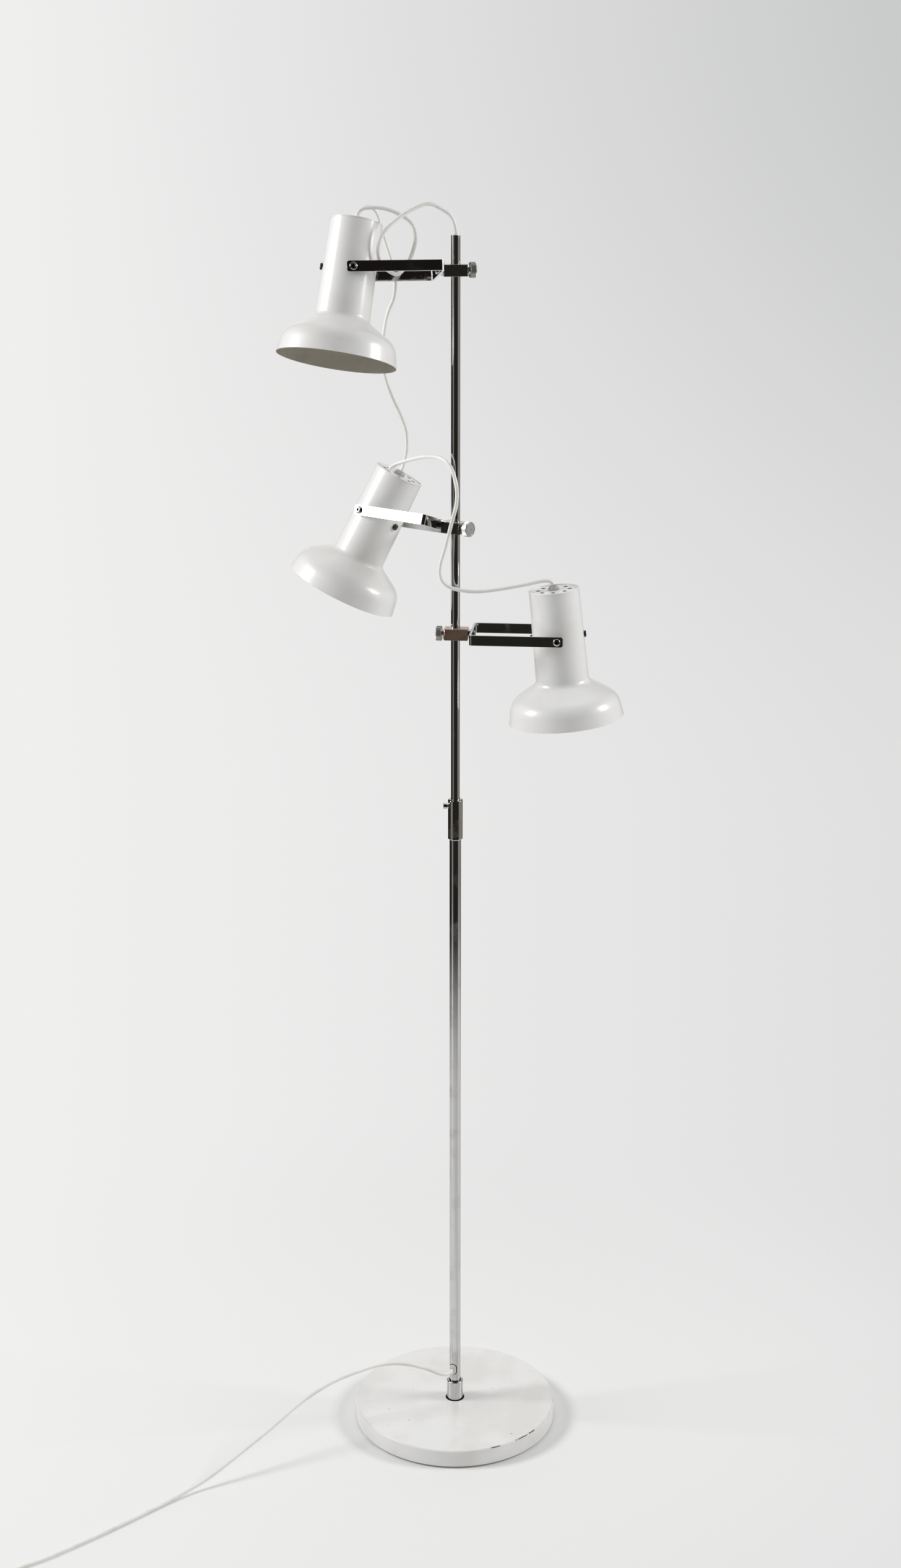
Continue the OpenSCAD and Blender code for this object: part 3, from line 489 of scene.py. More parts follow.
zinc = plated("zinc", (0.60, 0.60, 0.61), (0.42, 0.42, 0.40), 0.32, 0.52, own=False)
of_cad("foot_washer", zinc)
of_cad("foot_nut", zinc)

chrome = plated("chrome", (0.63, 0.63, 0.635), (0.49, 0.48, 0.465), 0.045, 0.22)
ferrule = turned([(0, 0.0055), (0.005, 0.0055), (0.006, 0.0065), (0.006, FERRULE_Z),
                  (FERRULE_R, FERRULE_Z, 0.0002), (FERRULE_R, 0.0565, 0.0012),
                  (TUBE_R + 0.0009, 0.0565, 0.0003), (TUBE_R + SNUG, 0.0545),
                  (TUBE_R + SNUG, 0.02945), (0, 0.02945)])
# the chamfer at the ferrule's mouth, round the tube, takes the painted shade of the gap
piece("turned_ferrule", ferrule, "stand", "foot_ferrule", [chrome, painted_gap_shade],
      inner=within(TUBE_R + 0.00088, 0.05, 0.0565))

# ---- Pole ----
# Two chromed steel tubes. The lower one stands in the ferrule and carries a turned sleeve with
# a locking screw; the upper one slides and turns in it on a nylon guide. The mains lead goes in
# through an oval nylon bush near the foot, and a rubber bush closes the top round the lead.
SLEEVE_Z, SLEEVE_TOP, SLEEVE_R, UPPER_R = 0.8905, 0.9475, 0.0101, 0.006
POLE_TOP, UPPER_FOOT = 1.695, 0.7775

tube_chrome, tree, shader, at = material("tube_chrome", Metallic=1.0)
skin = placed(tree, plating, at, 0.9)
drawn = node(tree, "Mapping", at, None, None, (700.0, 700.0, 3.0)).outputs[0]
lines = noise(tree, drawn, 1.0, 3.0)
streaks = node(tree, "Mapping", at, None, None, (330.0, 330.0, 1.2)).outputs[0]
streaks = ramp(tree, noise(tree, streaks, 1.0, 1.0), 0.40, 0.62)
tint = mixed(tree, streaks, (0.66, 0.66, 0.665), (0.56, 0.555, 0.55))
surfaced(tree, shader, mixed(tree, skin["Haze"], tint, (0.53, 0.52, 0.505)),
         sums(tree, "ADD", ramp(tree, skin["Haze"], 0, 1, 0.05, 0.20),
              ramp(tree, lines, 0.45, 0.75, 0.0, 0.05)),
         sums(tree, "ADD", skin["Height"], times(tree, lines, 0.2)), 0.00002, 0.5)

lower = turned([(0.0065, 0.0295), (TUBE_R, 0.0295), (TUBE_R, 0.92045, 0.0003), (0.0065, 0.92045)])
piece("lower_pole_tube", lower, "stand", "lower_tube", [tube_chrome])
upper = turned([(0.005, UPPER_FOOT), (UPPER_R, UPPER_FOOT), (UPPER_R, POLE_TOP, 0.0003),
                (0.005, POLE_TOP, 0.0002)])
piece("upper_pole_tube", upper, "upper_pole", "upper_tube", [tube_chrome])


def moulded(name, clean, aged, patch, rough, grain, depth=0.00005, bump=0.7, detail=2.0, **values):
    """A moulded plastic that has aged in soft patches of the given scale, with a fine grain."""
    m, tree, shader, at = material(name, **values)
    age = placed(tree, smudges, at, patch)[0]
    surfaced(tree, shader, mixed(tree, age, clean, aged), rough and ramp(tree, age, 0, 1, *rough),
             noise(tree, at, grain, detail), depth, bump)
    return m


nylon = moulded("nylon", (0.74, 0.72, 0.66), (0.62, 0.59, 0.52), 60.0, (0.42, 0.55), 900.0,
                own=False, Subsurface_Weight=0.05)
of_cad("guide_bush", nylon)

INLET_Z, INLET_TURN = 0.0765, radians(24)
INLET = Matrix.Translation((0, 0, INLET_Z)) @ Matrix.Rotation(-INLET_TURN, 4, "Z") \
    @ turned_by(90, "X")


def oval(w, h, z, steps=12):
    """The points of an upright oval with straight sides, w by h."""
    turns = [pi * k / steps for k in range(steps + 1)]
    half = [(w / 2 * cos(a), w / 2 * sin(a) + (h - w) / 2, z) for a in turns]
    return half + [(-x, -y, z) for x, y, z in half]


def skinned(bm, rows, ends="filled"):
    """Faces between closed rows of points. The two ends are filled, left open or joined."""
    for a, b in zip(rows, rows[1:] + rows[:1] * (ends == "joined")):
        for k in range(len(a)):
            bm.faces.new((a[k - 1], a[k], b[k], b[k - 1]))
    if ends == "filled":
        bm.faces.new(rows[0])
        bm.faces.new(rows[-1])
    return bm


bush = bmesh.new()
levels = [oval(0.009, 0.016, 0.006), oval(0.009, 0.016, TUBE_R + 0.001),
          oval(0.0087, 0.0157, TUBE_R + 0.0016), oval(0.008, 0.015, TUBE_R + 0.002),
          oval(0.007, 0.014, TUBE_R + 0.0022)]
skinned(bush, [[bush.verts.new(q) for q in level] for level in levels])
collar = turned([(0, 0.0075), (0.0033, 0.0075), (0.0033, TUBE_R + 0.0022, 0.0004),
                 (0, TUBE_R + 0.0022)], steps=48)
bush = joined((bush, HERE), (collar, HERE))
# painted shade: a thin dark band laid on the tube round the bush, for the shaded edge of its hole
hole = bmesh.new()
rows = []
for grow, lift in ((0, 0.00015), (0.0022, 0.00015), (0.0022, -0.0004), (0, -0.0004)):
    rows.append([hole.verts.new((x, y, max((TUBE_R + lift) ** 2 - x * x, 0) ** 0.5))
                 for x, y, _ in oval(0.009 + grow, 0.016 + grow, 0, 24)])
piece("lead_inlet_painted_shade", skinned(hole, rows, "joined"), "stand", None, [painted_gap_shade], INLET)
piece("lead_inlet", bush, "stand", "cord_inlet", [nylon], INLET)

sleeve = turned([(TUBE_R + SNUG, SLEEVE_Z, 0.0002), (SLEEVE_R - 0.0012, SLEEVE_Z, 0.0003),
                 (SLEEVE_R, SLEEVE_Z + 0.0012, 0.0005), (SLEEVE_R, SLEEVE_TOP - 0.0012, 0.0005),
                 (SLEEVE_R - 0.0012, SLEEVE_TOP, 0.0003), (UPPER_R + SNUG, SLEEVE_TOP, 0.0002),
                 (UPPER_R + SNUG, 0.9205), (TUBE_R + SNUG, 0.9205)])
sleeve_chrome = plated("sleeve_chrome", (0.62, 0.60, 0.57), (0.48, 0.45, 0.40), 0.08, 0.26, 1.2)
piece("turned_sleeve", sleeve, "stand", "pole_sleeve", [sleeve_chrome])


def cut(bm, spot, way, **settings):
    """Cuts every face of a mesh along a plane and gives back the cut's points and edges."""
    geom = bm.verts[:] + bm.edges[:] + bm.faces[:]
    done = bmesh.ops.bisect_plane(bm, geom=geom, plane_co=spot, plane_no=way, **settings)
    return done["geom_cut"]


def slot(bm, top, depth, width):
    """Cuts a screwdriver slot across the end of a turned head."""
    low = top - depth
    for spot, way in (((-width / 2, 0, 0), (1, 0, 0)), ((width / 2, 0, 0), (1, 0, 0)),
                      ((0, 0, low), (0, 0, 1))):
        cut(bm, spot, way)
    gone = [f for f in bm.faces if abs(f.calc_center_median().x) < width / 2
            and f.calc_center_median().z > low + 1e-6]
    bmesh.ops.delete(bm, geom=gone, context="FACES")
    rim = {v for e in bm.edges if e.is_boundary for v in e.verts}
    for side in (-1, 1):
        wall = [v for v in rim if abs(v.co.x - side * width / 2) < 1e-6]
        bm.faces.new(sorted(wall, key=lambda v: atan2(v.co.z - low + 1e-7, v.co.y)))
    bed = [v for v in rim if abs(v.co.z - low) < 1e-6]
    bm.faces.new(sorted(bed, key=lambda v: atan2(v.co.x, v.co.y)))


ALONG_X = turned_by(90, "Y")
TURN_BACK = Matrix.Rotation(pi, 4, "Z")
lock = turned([(0, 0.00635), (0.0025, 0.00635), (0.0025, SLEEVE_R + 0.0001),
               (0.0031, SLEEVE_R + 0.0001), (0.0031, 0.0116), (0.0041, 0.0116, 0.0004),
               (0.0041, 0.0166, 0.0006), (0, 0.0166)], steps=72)
slot(lock, 0.0166, 0.0012, 0.0012)
piece("locking_screw", lock, "lock_screw", "sleeve_screw", [chrome],
      Matrix.Translation((0, 0, SLEEVE_TOP - 0.01)) @ TURN_BACK @ ALONG_X)

rubber = moulded("grey_moulding", (0.46, 0.45, 0.43), (0.35, 0.34, 0.32), 90.0, (0.38, 0.6), 1100.0)
plug_top = turned([(0.002, POLE_TOP - 0.012), (0.00495, POLE_TOP - 0.012),
                   (0.00495, POLE_TOP - 0.0003, 0.0004),
                   (0.002, POLE_TOP - 0.0001, 0.0004)], steps=48)
piece("pole_top_bush", plug_top, "upper_pole", "top_bush", [rubber])

# ---- Clamps ----
# Three chromed blocks that ride on nylon liners round the upper tube. Each is held by a knurled
# nickel knob on its one end and carries a fork on its other, on a thick washer and a
# button-headed screw, so that it slides and swivels on the pole and the fork rolls on it.
CLAMP_Z = (1.6515, 1.3207, 1.1778)
TURN = (190.4, 139.2, -5.5)
ROLL = (13.3, 18.5, 0)
TILT = (-10.9, -19.5, -6.0)
REACH = 0.137
BLOCK_H, BLOCK_W, BLOCK_FRONT, BLOCK_BACK, LINER_R = 0.015, 0.02, 0.017, 0.0155, 0.00755
CHAMFER = 0.0016
WEB_X, BAR_T, ARM_Y = 0.0213, 0.003, 0.0377
SCREW_HOLE, SHANK_R, HEAD_R, HEAD_H, HEXAGON = 0.0026, 0.0025, 0.005, 0.0028, 0.0023


def on_pole(i):
    return Matrix.Translation((0, 0, CLAMP_Z[i])) @ turned_by(TURN[i], "Z")


def on_fork(i):
    return on_pole(i) @ turned_by(ROLL[i], "X")


def on_head(i):
    tilt = turned_by(TILT[i], "Y")
    return on_fork(i) @ Matrix.Translation((REACH, 0, 0)) @ tilt


def block():
    """The block with its upright bore; its knob end is chamfered on all four sides."""
    bm = bmesh.new()
    x0, x1, w, h = -BLOCK_BACK, BLOCK_FRONT, BLOCK_W / 2, BLOCK_H / 2
    corners = [(x1, -w), (x1, w), (x0, w), (x0, -w)]
    outer = [Vector(corners[i]).lerp(Vector(corners[(i + 1) % 4]), k / 12)
             for i in range(4) for k in range(12)]
    bore = [q.normalized() * (LINER_R + SNUG) for q in outer]
    rings = [[bm.verts.new((*q, z)) for q in line]
             for line, z in ((outer, -h), (outer, h), (bore, h), (bore, -h))]
    skinned(bm, rings, "joined")
    for way in ((-1, 1, 0), (-1, -1, 0), (-1, 0, 1), (-1, 0, -1)):
        edge = cut(bm, (x0 + CHAMFER, way[1] * w, way[2] * h), way, clear_outer=True)
        bmesh.ops.contextual_create(bm, geom=[e for e in edge if isinstance(e, bmesh.types.BMEdge)])
    bmesh.ops.dissolve_limit(bm, angle_limit=radians(1), verts=bm.verts, edges=bm.edges)
    return bm


def button_screw(start, seat):
    """A screw from start to the seat of its domed head, with a hexagon socket in it."""
    top = seat + HEAD_H
    bm = turned(eased([(0, start), (SHANK_R, start, 0.0004), (SHANK_R, seat),
                       (HEAD_R, seat, 0.0002), (HEAD_R, seat + HEAD_H * 0.42, 0.0006),
                       (HEAD_R * 0.88, seat + HEAD_H * 0.80, 0.0008), (HEAD_R * 0.62, top, 0.0006),
                       (HEXAGON + 0.0002, top), (HEXAGON, top - 0.0002),
                       (HEXAGON, seat + HEAD_H * 0.3), (0, seat + HEAD_H * 0.25)], steps=4))
    side = radians(60)
    for v in bm.verts:
        reach = hypot(v.co.x, v.co.y)
        if v.co.z > seat + HEAD_H * 0.2 and abs(reach - HEXAGON) < 0.00021:
            turn = (atan2(v.co.y, v.co.x) % side) - side / 2
            v.co.xy *= cos(side / 2) / cos(turn)
    return bm


def in_socket(low, seat, order="xyz"):
    """Picks the faces of a button screw's hexagon socket. The order puts the screw's axis last."""
    def picked(c, normal):
        x, y, z = (getattr(c, letter) for letter in order)
        return hypot(x, y) < HEXAGON + 0.0001 and low < abs(z) < seat + 0.0026
    return picked


def knob():
    """Screw, collar and a straight-knurled head with a turned ring in its face."""
    r, start, grooves = 0.01, BLOCK_BACK + 0.0024, 40
    bm = turned([(0, 0.0079), (0.003, 0.0079), (0.003, BLOCK_BACK + 0.0001),
                 (0.00525, BLOCK_BACK + 0.0001), (0.00525, start), (r - 0.0008, start, 0.0002),
                 (r, start + 0.0008, 0.0002), (r, start + 0.0072, 0.0002),
                 (r - 0.0008, start + 0.008, 0.0003), (0.0084, start + 0.008),
                 (0.0082, start + 0.0075), (0.0074, start + 0.0075), (0.0072, start + 0.008),
                 (0.0022, start + 0.008), (0.0018, start + 0.0077), (0, start + 0.0077)], steps=400)
    for v in bm.verts:
        reach = hypot(v.co.x, v.co.y)
        if reach > r - 0.00081 and v.co.z > start - 0.0001:
            beat = 0.5 + 0.5 * cos(atan2(v.co.y, v.co.x) * grooves)
            v.co.xy *= 1 - 0.00055 * (1 - min(1, beat * 1.5)) / r
    return bm


block_chrome = plated("block_chrome", (0.62, 0.61, 0.60), (0.44, 0.39, 0.34), 0.07, 0.34, 1.3)
worn_chrome = plated("worn_block_chrome", (0.52, 0.38, 0.30), (0.34, 0.22, 0.15), 0.24, 0.52, 1.6,
                     metal=0.85)
nickel, tree, shader, at = material("satin_nickel", Metallic=0.88)
skin = placed(tree, plating, at, 1.0)
rings = node(tree, "TexWave", at, 900.0, 0.6, 1.0, wave_type="RINGS", rings_direction="Z")
rings = rings.outputs[1]
surfaced(tree, shader, mixed(tree, skin["Haze"], (0.70, 0.69, 0.67), (0.50, 0.49, 0.46)),
         sums(tree, "ADD", ramp(tree, skin["Haze"], 0, 1, 0.24, 0.42), times(tree, rings, 0.05)),
         sums(tree, "ADD", skin["Height"], times(tree, rings, 0.3)), 0.00003, 0.6)
screw_chrome = plated("screw_chrome", (0.64, 0.64, 0.64), (0.44, 0.43, 0.41), 0.12, 0.36)
# painted shade: the hexagon sockets are made near-black for the shade that falls in them
painted_socket_shade = plated("painted_socket_shade", (0.035, 0.033, 0.03), (0.015, 0.014, 0.013), 0.4, 0.6)

for i in range(3):
    n = i + 1
    of_cad(f"liner_{n}", nylon)
    piece(f"clamp_block_{n}", block(), f"clamp_{n}", f"block_{n}",
          [worn_chrome if i == 2 else block_chrome], on_pole(i), crease=20, ease=0.00035)
    washer = turned([(SCREW_HOLE, 0), (0.0065, 0, 0.0002), (0.0065, 0.0042, 0.0003),
                     (SCREW_HOLE, 0.0042)])
    piece(f"thick_washer_{n}", washer, f"clamp_{n}", f"roll_washer_{n}", [screw_chrome],
          on_pole(i) @ Matrix.Translation((BLOCK_FRONT, 0, 0)) @ ALONG_X)
    # its hexagon socket takes the painted shade
    piece(f"fork_button_screw_{n}", button_screw(LINER_R + 0.0015, WEB_X + BAR_T + 0.0001),
          f"clamp_{n}", f"fork_screw_{n}", [screw_chrome, painted_socket_shade], on_pole(i) @ ALONG_X,
          inner=in_socket(0.02, WEB_X + BAR_T))
    piece(f"knurled_knob_{n}", knob(), f"hand_knob_{n}", f"knob_{n}", [nickel],
          on_pole(i) @ TURN_BACK @ ALONG_X)

# ---- Forks ----
# Flat steel bar, 13.5 by 3 mm, bent cold into a U and chromed. The arms' ends are rounded, and
# the head hangs between them on two button-headed screws with plastic spacers.
BAR_H, FAR, CORNER_R = 0.0135, 0.145, 0.003


def fork():
    """The bar's section swept round the U; near each end it narrows to the rounded corners."""
    turn_r, out = 0.0045, ARM_Y + BAR_T
    stations = []
    for k in range(7):
        a = radians(90 - 15 * k)
        stations.append((FAR - CORNER_R + CORNER_R * sin(a),
                         BAR_H / 2 - CORNER_R + CORNER_R * cos(a)))
    half = [(Vector((x, -out)), Vector((x, -ARM_Y)), h) for x, h in stations]
    half.append((Vector((0.09, -out)), Vector((0.09, -ARM_Y)), BAR_H / 2))
    for k in range(13):
        a = radians(7.5 * k)
        spoke = Vector((-sin(a), -cos(a)))
        centre = Vector((WEB_X + turn_r, -out + turn_r))
        half.append((centre + spoke * turn_r, centre + spoke * (turn_r - BAR_T), BAR_H / 2))
    mirrored = [(Vector((a.x, -a.y)), Vector((b.x, -b.y)), h) for a, b, h in half]
    bm = bmesh.new()
    rows = [[bm.verts.new((*q, z)) for q, z in ((a, -h), (a, h), (b, h), (b, -h))]
            for a, b, h in half + mirrored[::-1]]
    return skinned(bm, rows)


fork_chrome = plated("fork_chrome", (0.64, 0.64, 0.64), (0.47, 0.455, 0.43), 0.05, 0.24)
spacer_white = moulded("spacer_plastic", (0.62, 0.61, 0.58), (0.48, 0.46, 0.42), 120.0, None,
                       1000.0, Roughness=0.45)

SIDES = [turned_by(turn, "Z") @ ALONG_X for turn in (-90, 90)]
for i in range(3):
    n = i + 1
    piece(f"bent_fork_{n}", fork(), f"fork_arm_{n}", f"fork_{n}", [fork_chrome], on_fork(i),
          crease=25, ease=0.0004)
    screws = joined(*[(button_screw(0.03175, ARM_Y + BAR_T + 0.0001), side) for side in SIDES])
    # their hexagon sockets take the painted shade
    piece(f"pivot_button_screws_{n}", screws, f"head_{n}", f"pivot_screws_{n}",
          [screw_chrome, painted_socket_shade], on_head(i), inner=in_socket(0.038, ARM_Y + BAR_T, "xzy"))
    spacers = joined(*[(turned([(SCREW_HOLE, 0.0345), (0.006, 0.0345, 0.0003),
                                (0.006, 0.0376, 0.0003), (SCREW_HOLE, 0.0376)], steps=64),
                       side) for side in SIDES])
    piece(f"white_spacers_{n}", spacers, f"head_{n}", f"pivot_spacers_{n}", [spacer_white],
          on_head(i))

# ---- Heads ----
# Shades spun from 1.2 mm aluminium, white outside, with a pressed cap that has eight vent holes.
# Their insides are a darker grey-beige, painted shade, and darker again up the neck, painted shade
# with some heat tint. A grey gland on a threaded tube brings the lead to the black lampholder,
# and a steel ring inside the neck takes the pivot screws and two slotted side screws.
SHEET, NECK_R, TAPER, HEAD_UP, RIM_Z = 0.0012, 0.0344, 0.0176, 0.0635, 0.062
NECK_DOWN, MOUTH_R, HEAD_DOWN, CAP_Z, SCREW_END = 0.062, 0.0774, 0.1133, 0.0623, 0.03715
VENTS_R = 0.021


def shade():
    """The sheet's outline from the neck's top to the mouth, doubled inwards, turned once round."""
    foot = (NECK_R + TAPER * NECK_DOWN, -NECK_DOWN)
    run = (HEAD_DOWN - NECK_DOWN - (MOUTH_R - foot[0]) / 0.176) / (0.64 - 1 / 0.176)
    knuckle = (foot[0] + run, foot[1] - 0.64 * run)
    outside = eased([(NECK_R - TAPER * RIM_Z, RIM_Z), (*foot, 0.01), (*knuckle, 0.026),
                     (MOUTH_R, -HEAD_DOWN)], steps=14)
    inside = []
    for k, q in enumerate(outside):
        along = (outside[min(k + 1, len(outside) - 1)] - outside[max(k - 1, 0)]).normalized()
        inside.append(q + SHEET * Vector((along.y, -along.x)))
    lip = (outside[-1] + inside[-1]) / 2 - Vector((0, 0.00025))
    return turned(outside + [lip] + inside[::-1], steps=192)


def cap():
    """The pressed cap: a recessed plate with its vent holes, a rolled rim and a short skirt."""
    r0, edge, hole = NECK_R - TAPER * RIM_Z, 0.03086, 0.00505
    rim = turned([(edge, CAP_Z), (edge + 0.0005, HEAD_UP, 0.0004), (r0 + 0.00045, HEAD_UP, 0.0006),
                  (r0 + 0.00045, RIM_Z + SNUG), (0.03206, RIM_Z + SNUG), (0.03206, 0.054),
                  (edge, 0.054), (edge, CAP_Z - SHEET)], closed=False)
    circles = [((0, 0), hole, 48), ((0, 0), edge, 96)]
    for k in range(8):
        a = tau * k / 8
        circles.append(((VENTS_R * cos(a), VENTS_R * sin(a)), 0.0029, 24))
    plate = bmesh.new()
    loops = []
    for z in (CAP_Z, CAP_Z - SHEET):
        level = []
        for (x, y), r, count in circles:
            turns = [tau * k / count for k in range(count)]
            ring = [plate.verts.new((x + r * cos(a), y + r * sin(a), z)) for a in turns]
            level.append((ring, [plate.edges.new((ring[k - 1], ring[k])) for k in range(count)]))
        bmesh.ops.triangle_fill(plate, use_beauty=True, edges=[e for _, es in level for e in es],
                                normal=(0, 0, 1))
        loops.append(level)
    for (a, _), (b, _) in zip(*loops):
        if len(a) != 96:
            skinned(plate, [a, b], "open")
    return welded(joined((rim, HERE), (plate, HERE)), 1e-5)


shade_paint = sprayed("shade_paint", (0.82, 0.815, 0.805), (0.77, 0.76, 0.74))[0]
# painted shade: a dark material on the cap's underside and the walls of its vent holes, so the
# vents look dark
vent_shade = mottled("painted_vent_shade", (0.03, 0.027, 0.024), (0.075, 0.067, 0.058), 260.0, 0.0001,
               Roughness=0.8)[0]
# painted shade: the inside of the shade takes a darker grey-beige than the white outside, for the
# shade that falls in it
inside_painted_shade, tree, shader, at = material("inside_with_painted_shade", Roughness=0.42)
age = placed(tree, smudges, at, 26.0)[0]
# darker up the neck towards the lampholder: painted shade deep in the neck, with some heat tint
neck_shade = ramp(tree, split(tree, at)["Z"], -0.09, 0.03)
tone = mixed(tree, age, (0.46, 0.43, 0.36), (0.38, 0.35, 0.29))
rings = node(tree, "TexWave", at, 260.0, 0.8, 2.0, wave_type="BANDS", bands_direction="Z")
surfaced(tree, shader, mixed(tree, neck_shade, tone, (0.24, 0.21, 0.16)),
         ramp(tree, age, 0, 1, 0.38, 0.52), rings.outputs[1], 0.00004, 0.5)
bakelite = moulded("bakelite", (0.012, 0.011, 0.011), (0.035, 0.031, 0.028), 70.0, (0.28, 0.5),
                   500.0, 0.00004, 0.6, 3.0, Coat_Weight=0.2, Coat_Roughness=0.25)
contact = plated("brass_thread", (0.72, 0.56, 0.28), (0.42, 0.31, 0.15), 0.25, 0.5)
dark_screw = plated("dark_screw", (0.10, 0.095, 0.09), (0.04, 0.035, 0.03), 0.30, 0.5, 1.2)
ring_steel = plated("ring_steel", (0.58, 0.58, 0.58), (0.38, 0.37, 0.35), 0.3, 0.5)

HOLDER_TOP = CAP_Z - SHEET - SNUG
HOLDER_LOW = HOLDER_TOP - 0.058
GLAND_Z, SOCKET_R, SOCKET_H = 0.068, 0.01335, 0.028
for i in range(3):
    n = i + 1
    place, body = on_head(i), f"head_{n}"
    # the inward faces take the material with the painted shade
    piece(f"spun_shade_{n}", shade(), body, f"shade_{n}", [shade_paint, inside_painted_shade], place,
          inner=lambda c, normal: normal.x * c.x + normal.y * c.y < -1e-6)
    # the cap's underside and vent walls take the painted shade
    piece(f"vented_cap_{n}", cap(), body, f"cap_{n}", [shade_paint, vent_shade], place, crease=30,
          inner=within(0.0308, 0, CAP_Z - 0.0002))
    low = HOLDER_TOP - 0.008
    gland = turned([(0.0021, low), (0.005, low), (0.005, CAP_Z + SNUG), (0.0075, CAP_Z + SNUG),
                    (0.0075, HEAD_UP + 0.001, 0.0005), (0.0064, HEAD_UP + 0.002, 0.0012),
                    (0.005, GLAND_Z, 0.001), (0.003, GLAND_Z, 0.0004),
                    (0.0023, GLAND_Z - 0.001), (0.0021, GLAND_Z - 0.003)], steps=64)
    piece(f"lead_gland_{n}", gland, body, f"gland_{n}", [rubber], place)
    r, low, top = 0.0195, HOLDER_LOW, HOLDER_TOP
    holder = turned([(0.00505, top), (0.008, top, 0.0005), (0.008, top - 0.007, 0.0008),
                     (r * 0.8, top - 0.012, 0.002), (r, top - 0.019, 0.002),
                     (r, low + 0.025, 0.0004), (r * 0.96, low + 0.0245), (r * 0.96, low + 0.023),
                     (r, low + 0.0225, 0.0004), (r, low + 0.015, 0.0004), (r * 0.92, low + 0.014),
                     (r * 0.92, low + 0.003, 0.0008), (r * 0.88, low, 0.0006),
                     (SOCKET_R, low, 0.0003), (SOCKET_R, low + SOCKET_H), (0.002, low + SOCKET_H),
                     (0.002, top - 0.01), (0.00505, top - 0.01)])
    piece(f"black_lampholder_{n}", holder, body, f"lampholder_{n}", [bakelite, contact], place,
          inner=within(SOCKET_R + SNUG, low + 0.003, low + SOCKET_H + 0.0001))
    r = NECK_R - TAPER * 0.007 - SHEET - SNUG
    ring = turned([(r - 0.0018, -0.007), (r, -0.007), (r, 0.007), (r - 0.0018, 0.007)])
    piece(f"steel_neck_ring_{n}", ring, body, f"neck_ring_{n}", [ring_steel], place)
    sides = []
    for turn in (0, 180):
        screw = turned([(0, 0.03175), (0.002, 0.03175), (0.002, 0.03445), (0.0043, 0.03445, 0.0002),
                        (0.0043, 0.0367, 0.0005), (0.0036, SCREW_END, 0.0006),
                        (0, SCREW_END)], steps=64)
        slot(screw, SCREW_END, 0.0011, 0.001)
        sides.append((screw, turned_by(turn, "Z") @ ALONG_X))
    piece(f"slotted_side_screws_{n}", joined(*sides), body, f"side_screws_{n}", [dark_screw], place)

# ---- Leads ----
# Round white PVC flex, 5 mm thick. One lead comes up inside the pole and loops over to the
# first head, and one goes on from head to head; each is cut into lengths, one for each joint
# that it bridges. The mains lead leaves the bush at the pole's foot and its spare length lies
# coiled on the floor.
LEAD = 0.005

flex = moulded("flex", (0.86, 0.855, 0.83), (0.78, 0.77, 0.72), 22.0, (0.34, 0.46), 700.0,
               0.00008, 0.6, own=False)


def route(points, step=0.0035):
    """The points of a smooth line through the given ones, a step apart."""
    p = [Vector(q) for q in points]
    line = []
    for i in range(len(p) - 1):
        a, b, c, d = p[max(i - 1, 0)], p[i], p[i + 1], p[min(i + 2, len(p) - 1)]
        n = max(1, round((c - b).length / step))
        for k in range(n):
            t = k / n
            line.append((2 * b + (c - a) * t + (2 * a - 5 * b + 4 * c - d) * t * t
                         + (3 * b - a - 3 * c + d) * t ** 3) / 2)
    return line + [p[-1]]


def run_of(line):
    return sum((b - a).length for a, b in zip(line, line[1:]))


def flex_tube(name, line, thick=LEAD, cover=flex):
    """Flex or wire drawn along a line, as a closed tube."""
    curve = bpy.data.curves.new(name, "CURVE")
    curve.dimensions = "3D"
    curve.bevel_depth, curve.bevel_resolution, curve.use_fill_caps = thick / 2, 6, True
    spline = curve.splines.new("POLY")
    spline.points.add(len(line) - 1)
    for at_point, q in zip(spline.points, line):
        at_point.co = (*q, 1)
    drawn = bpy.data.objects.new(name + "_line", curve)
    mesh = bpy.data.meshes.new_from_object(drawn)
    bm = bmesh.new()
    bm.from_mesh(mesh)
    bpy.data.objects.remove(drawn)
    bpy.data.curves.remove(curve)
    bpy.data.meshes.remove(mesh)
    return made_of(name, welded(bm, 1e-6), [cover], 50)


def gland_end(i, out):
    return on_head(i) @ Vector((0, 0, GLAND_Z + 0.0001 + out))


def vent_end(i, side, out):
    return on_head(i) @ Vector((0, side * VENTS_R, CAP_Z + out))


from_pole = [(0, 0, 1.6951), (0, 0, 1.702), (-.005, -.003, 1.717), (-.017, -.006, 1.727),
             (-.036, -.014, 1.734), (-.063, -.026, 1.723), (-.083, -.036, 1.708),
             (-.094, -.042, 1.693), (-.097, -.044, 1.675), (-.091, -.04, 1.659),
             (-.075, -.026, 1.648), (-.064, -.01, 1.656), (-.057, 0, 1.668),
             (-.051, .006, 1.69), (-.056, .004, 1.709), (-.072, 0, 1.721),
             (-.091, -.003, 1.728), (-.109, -.004, 1.729), (-.119, -.004, 1.727),
             gland_end(0, .005), gland_end(0, 0)]
one_to_two = [vent_end(0, -1, -.0008), vent_end(0, -1, .005), (-.124, .014, 1.719),
              (-.1195, .016, 1.7265), (-.112, .0185, 1.7295), (-.1045, .022, 1.7265),
              (-.100, .0255, 1.7185), (-.096, .03, 1.704), (-.091, .034, 1.688),
              (-.083, .038, 1.662), (-.078, .04, 1.636),
              (-.08, .042, 1.614), (-.088, .045, 1.594), (-.093, .048, 1.57),
              (-.096, .053, 1.54), (-.093, .06, 1.512), (-.084, .07, 1.484),
              (-.073, .08, 1.458), (-.066, .086, 1.436), (-.065, .089, 1.414),
              (-.067, .09, 1.400), gland_end(1, .006), gland_end(1, 0)]
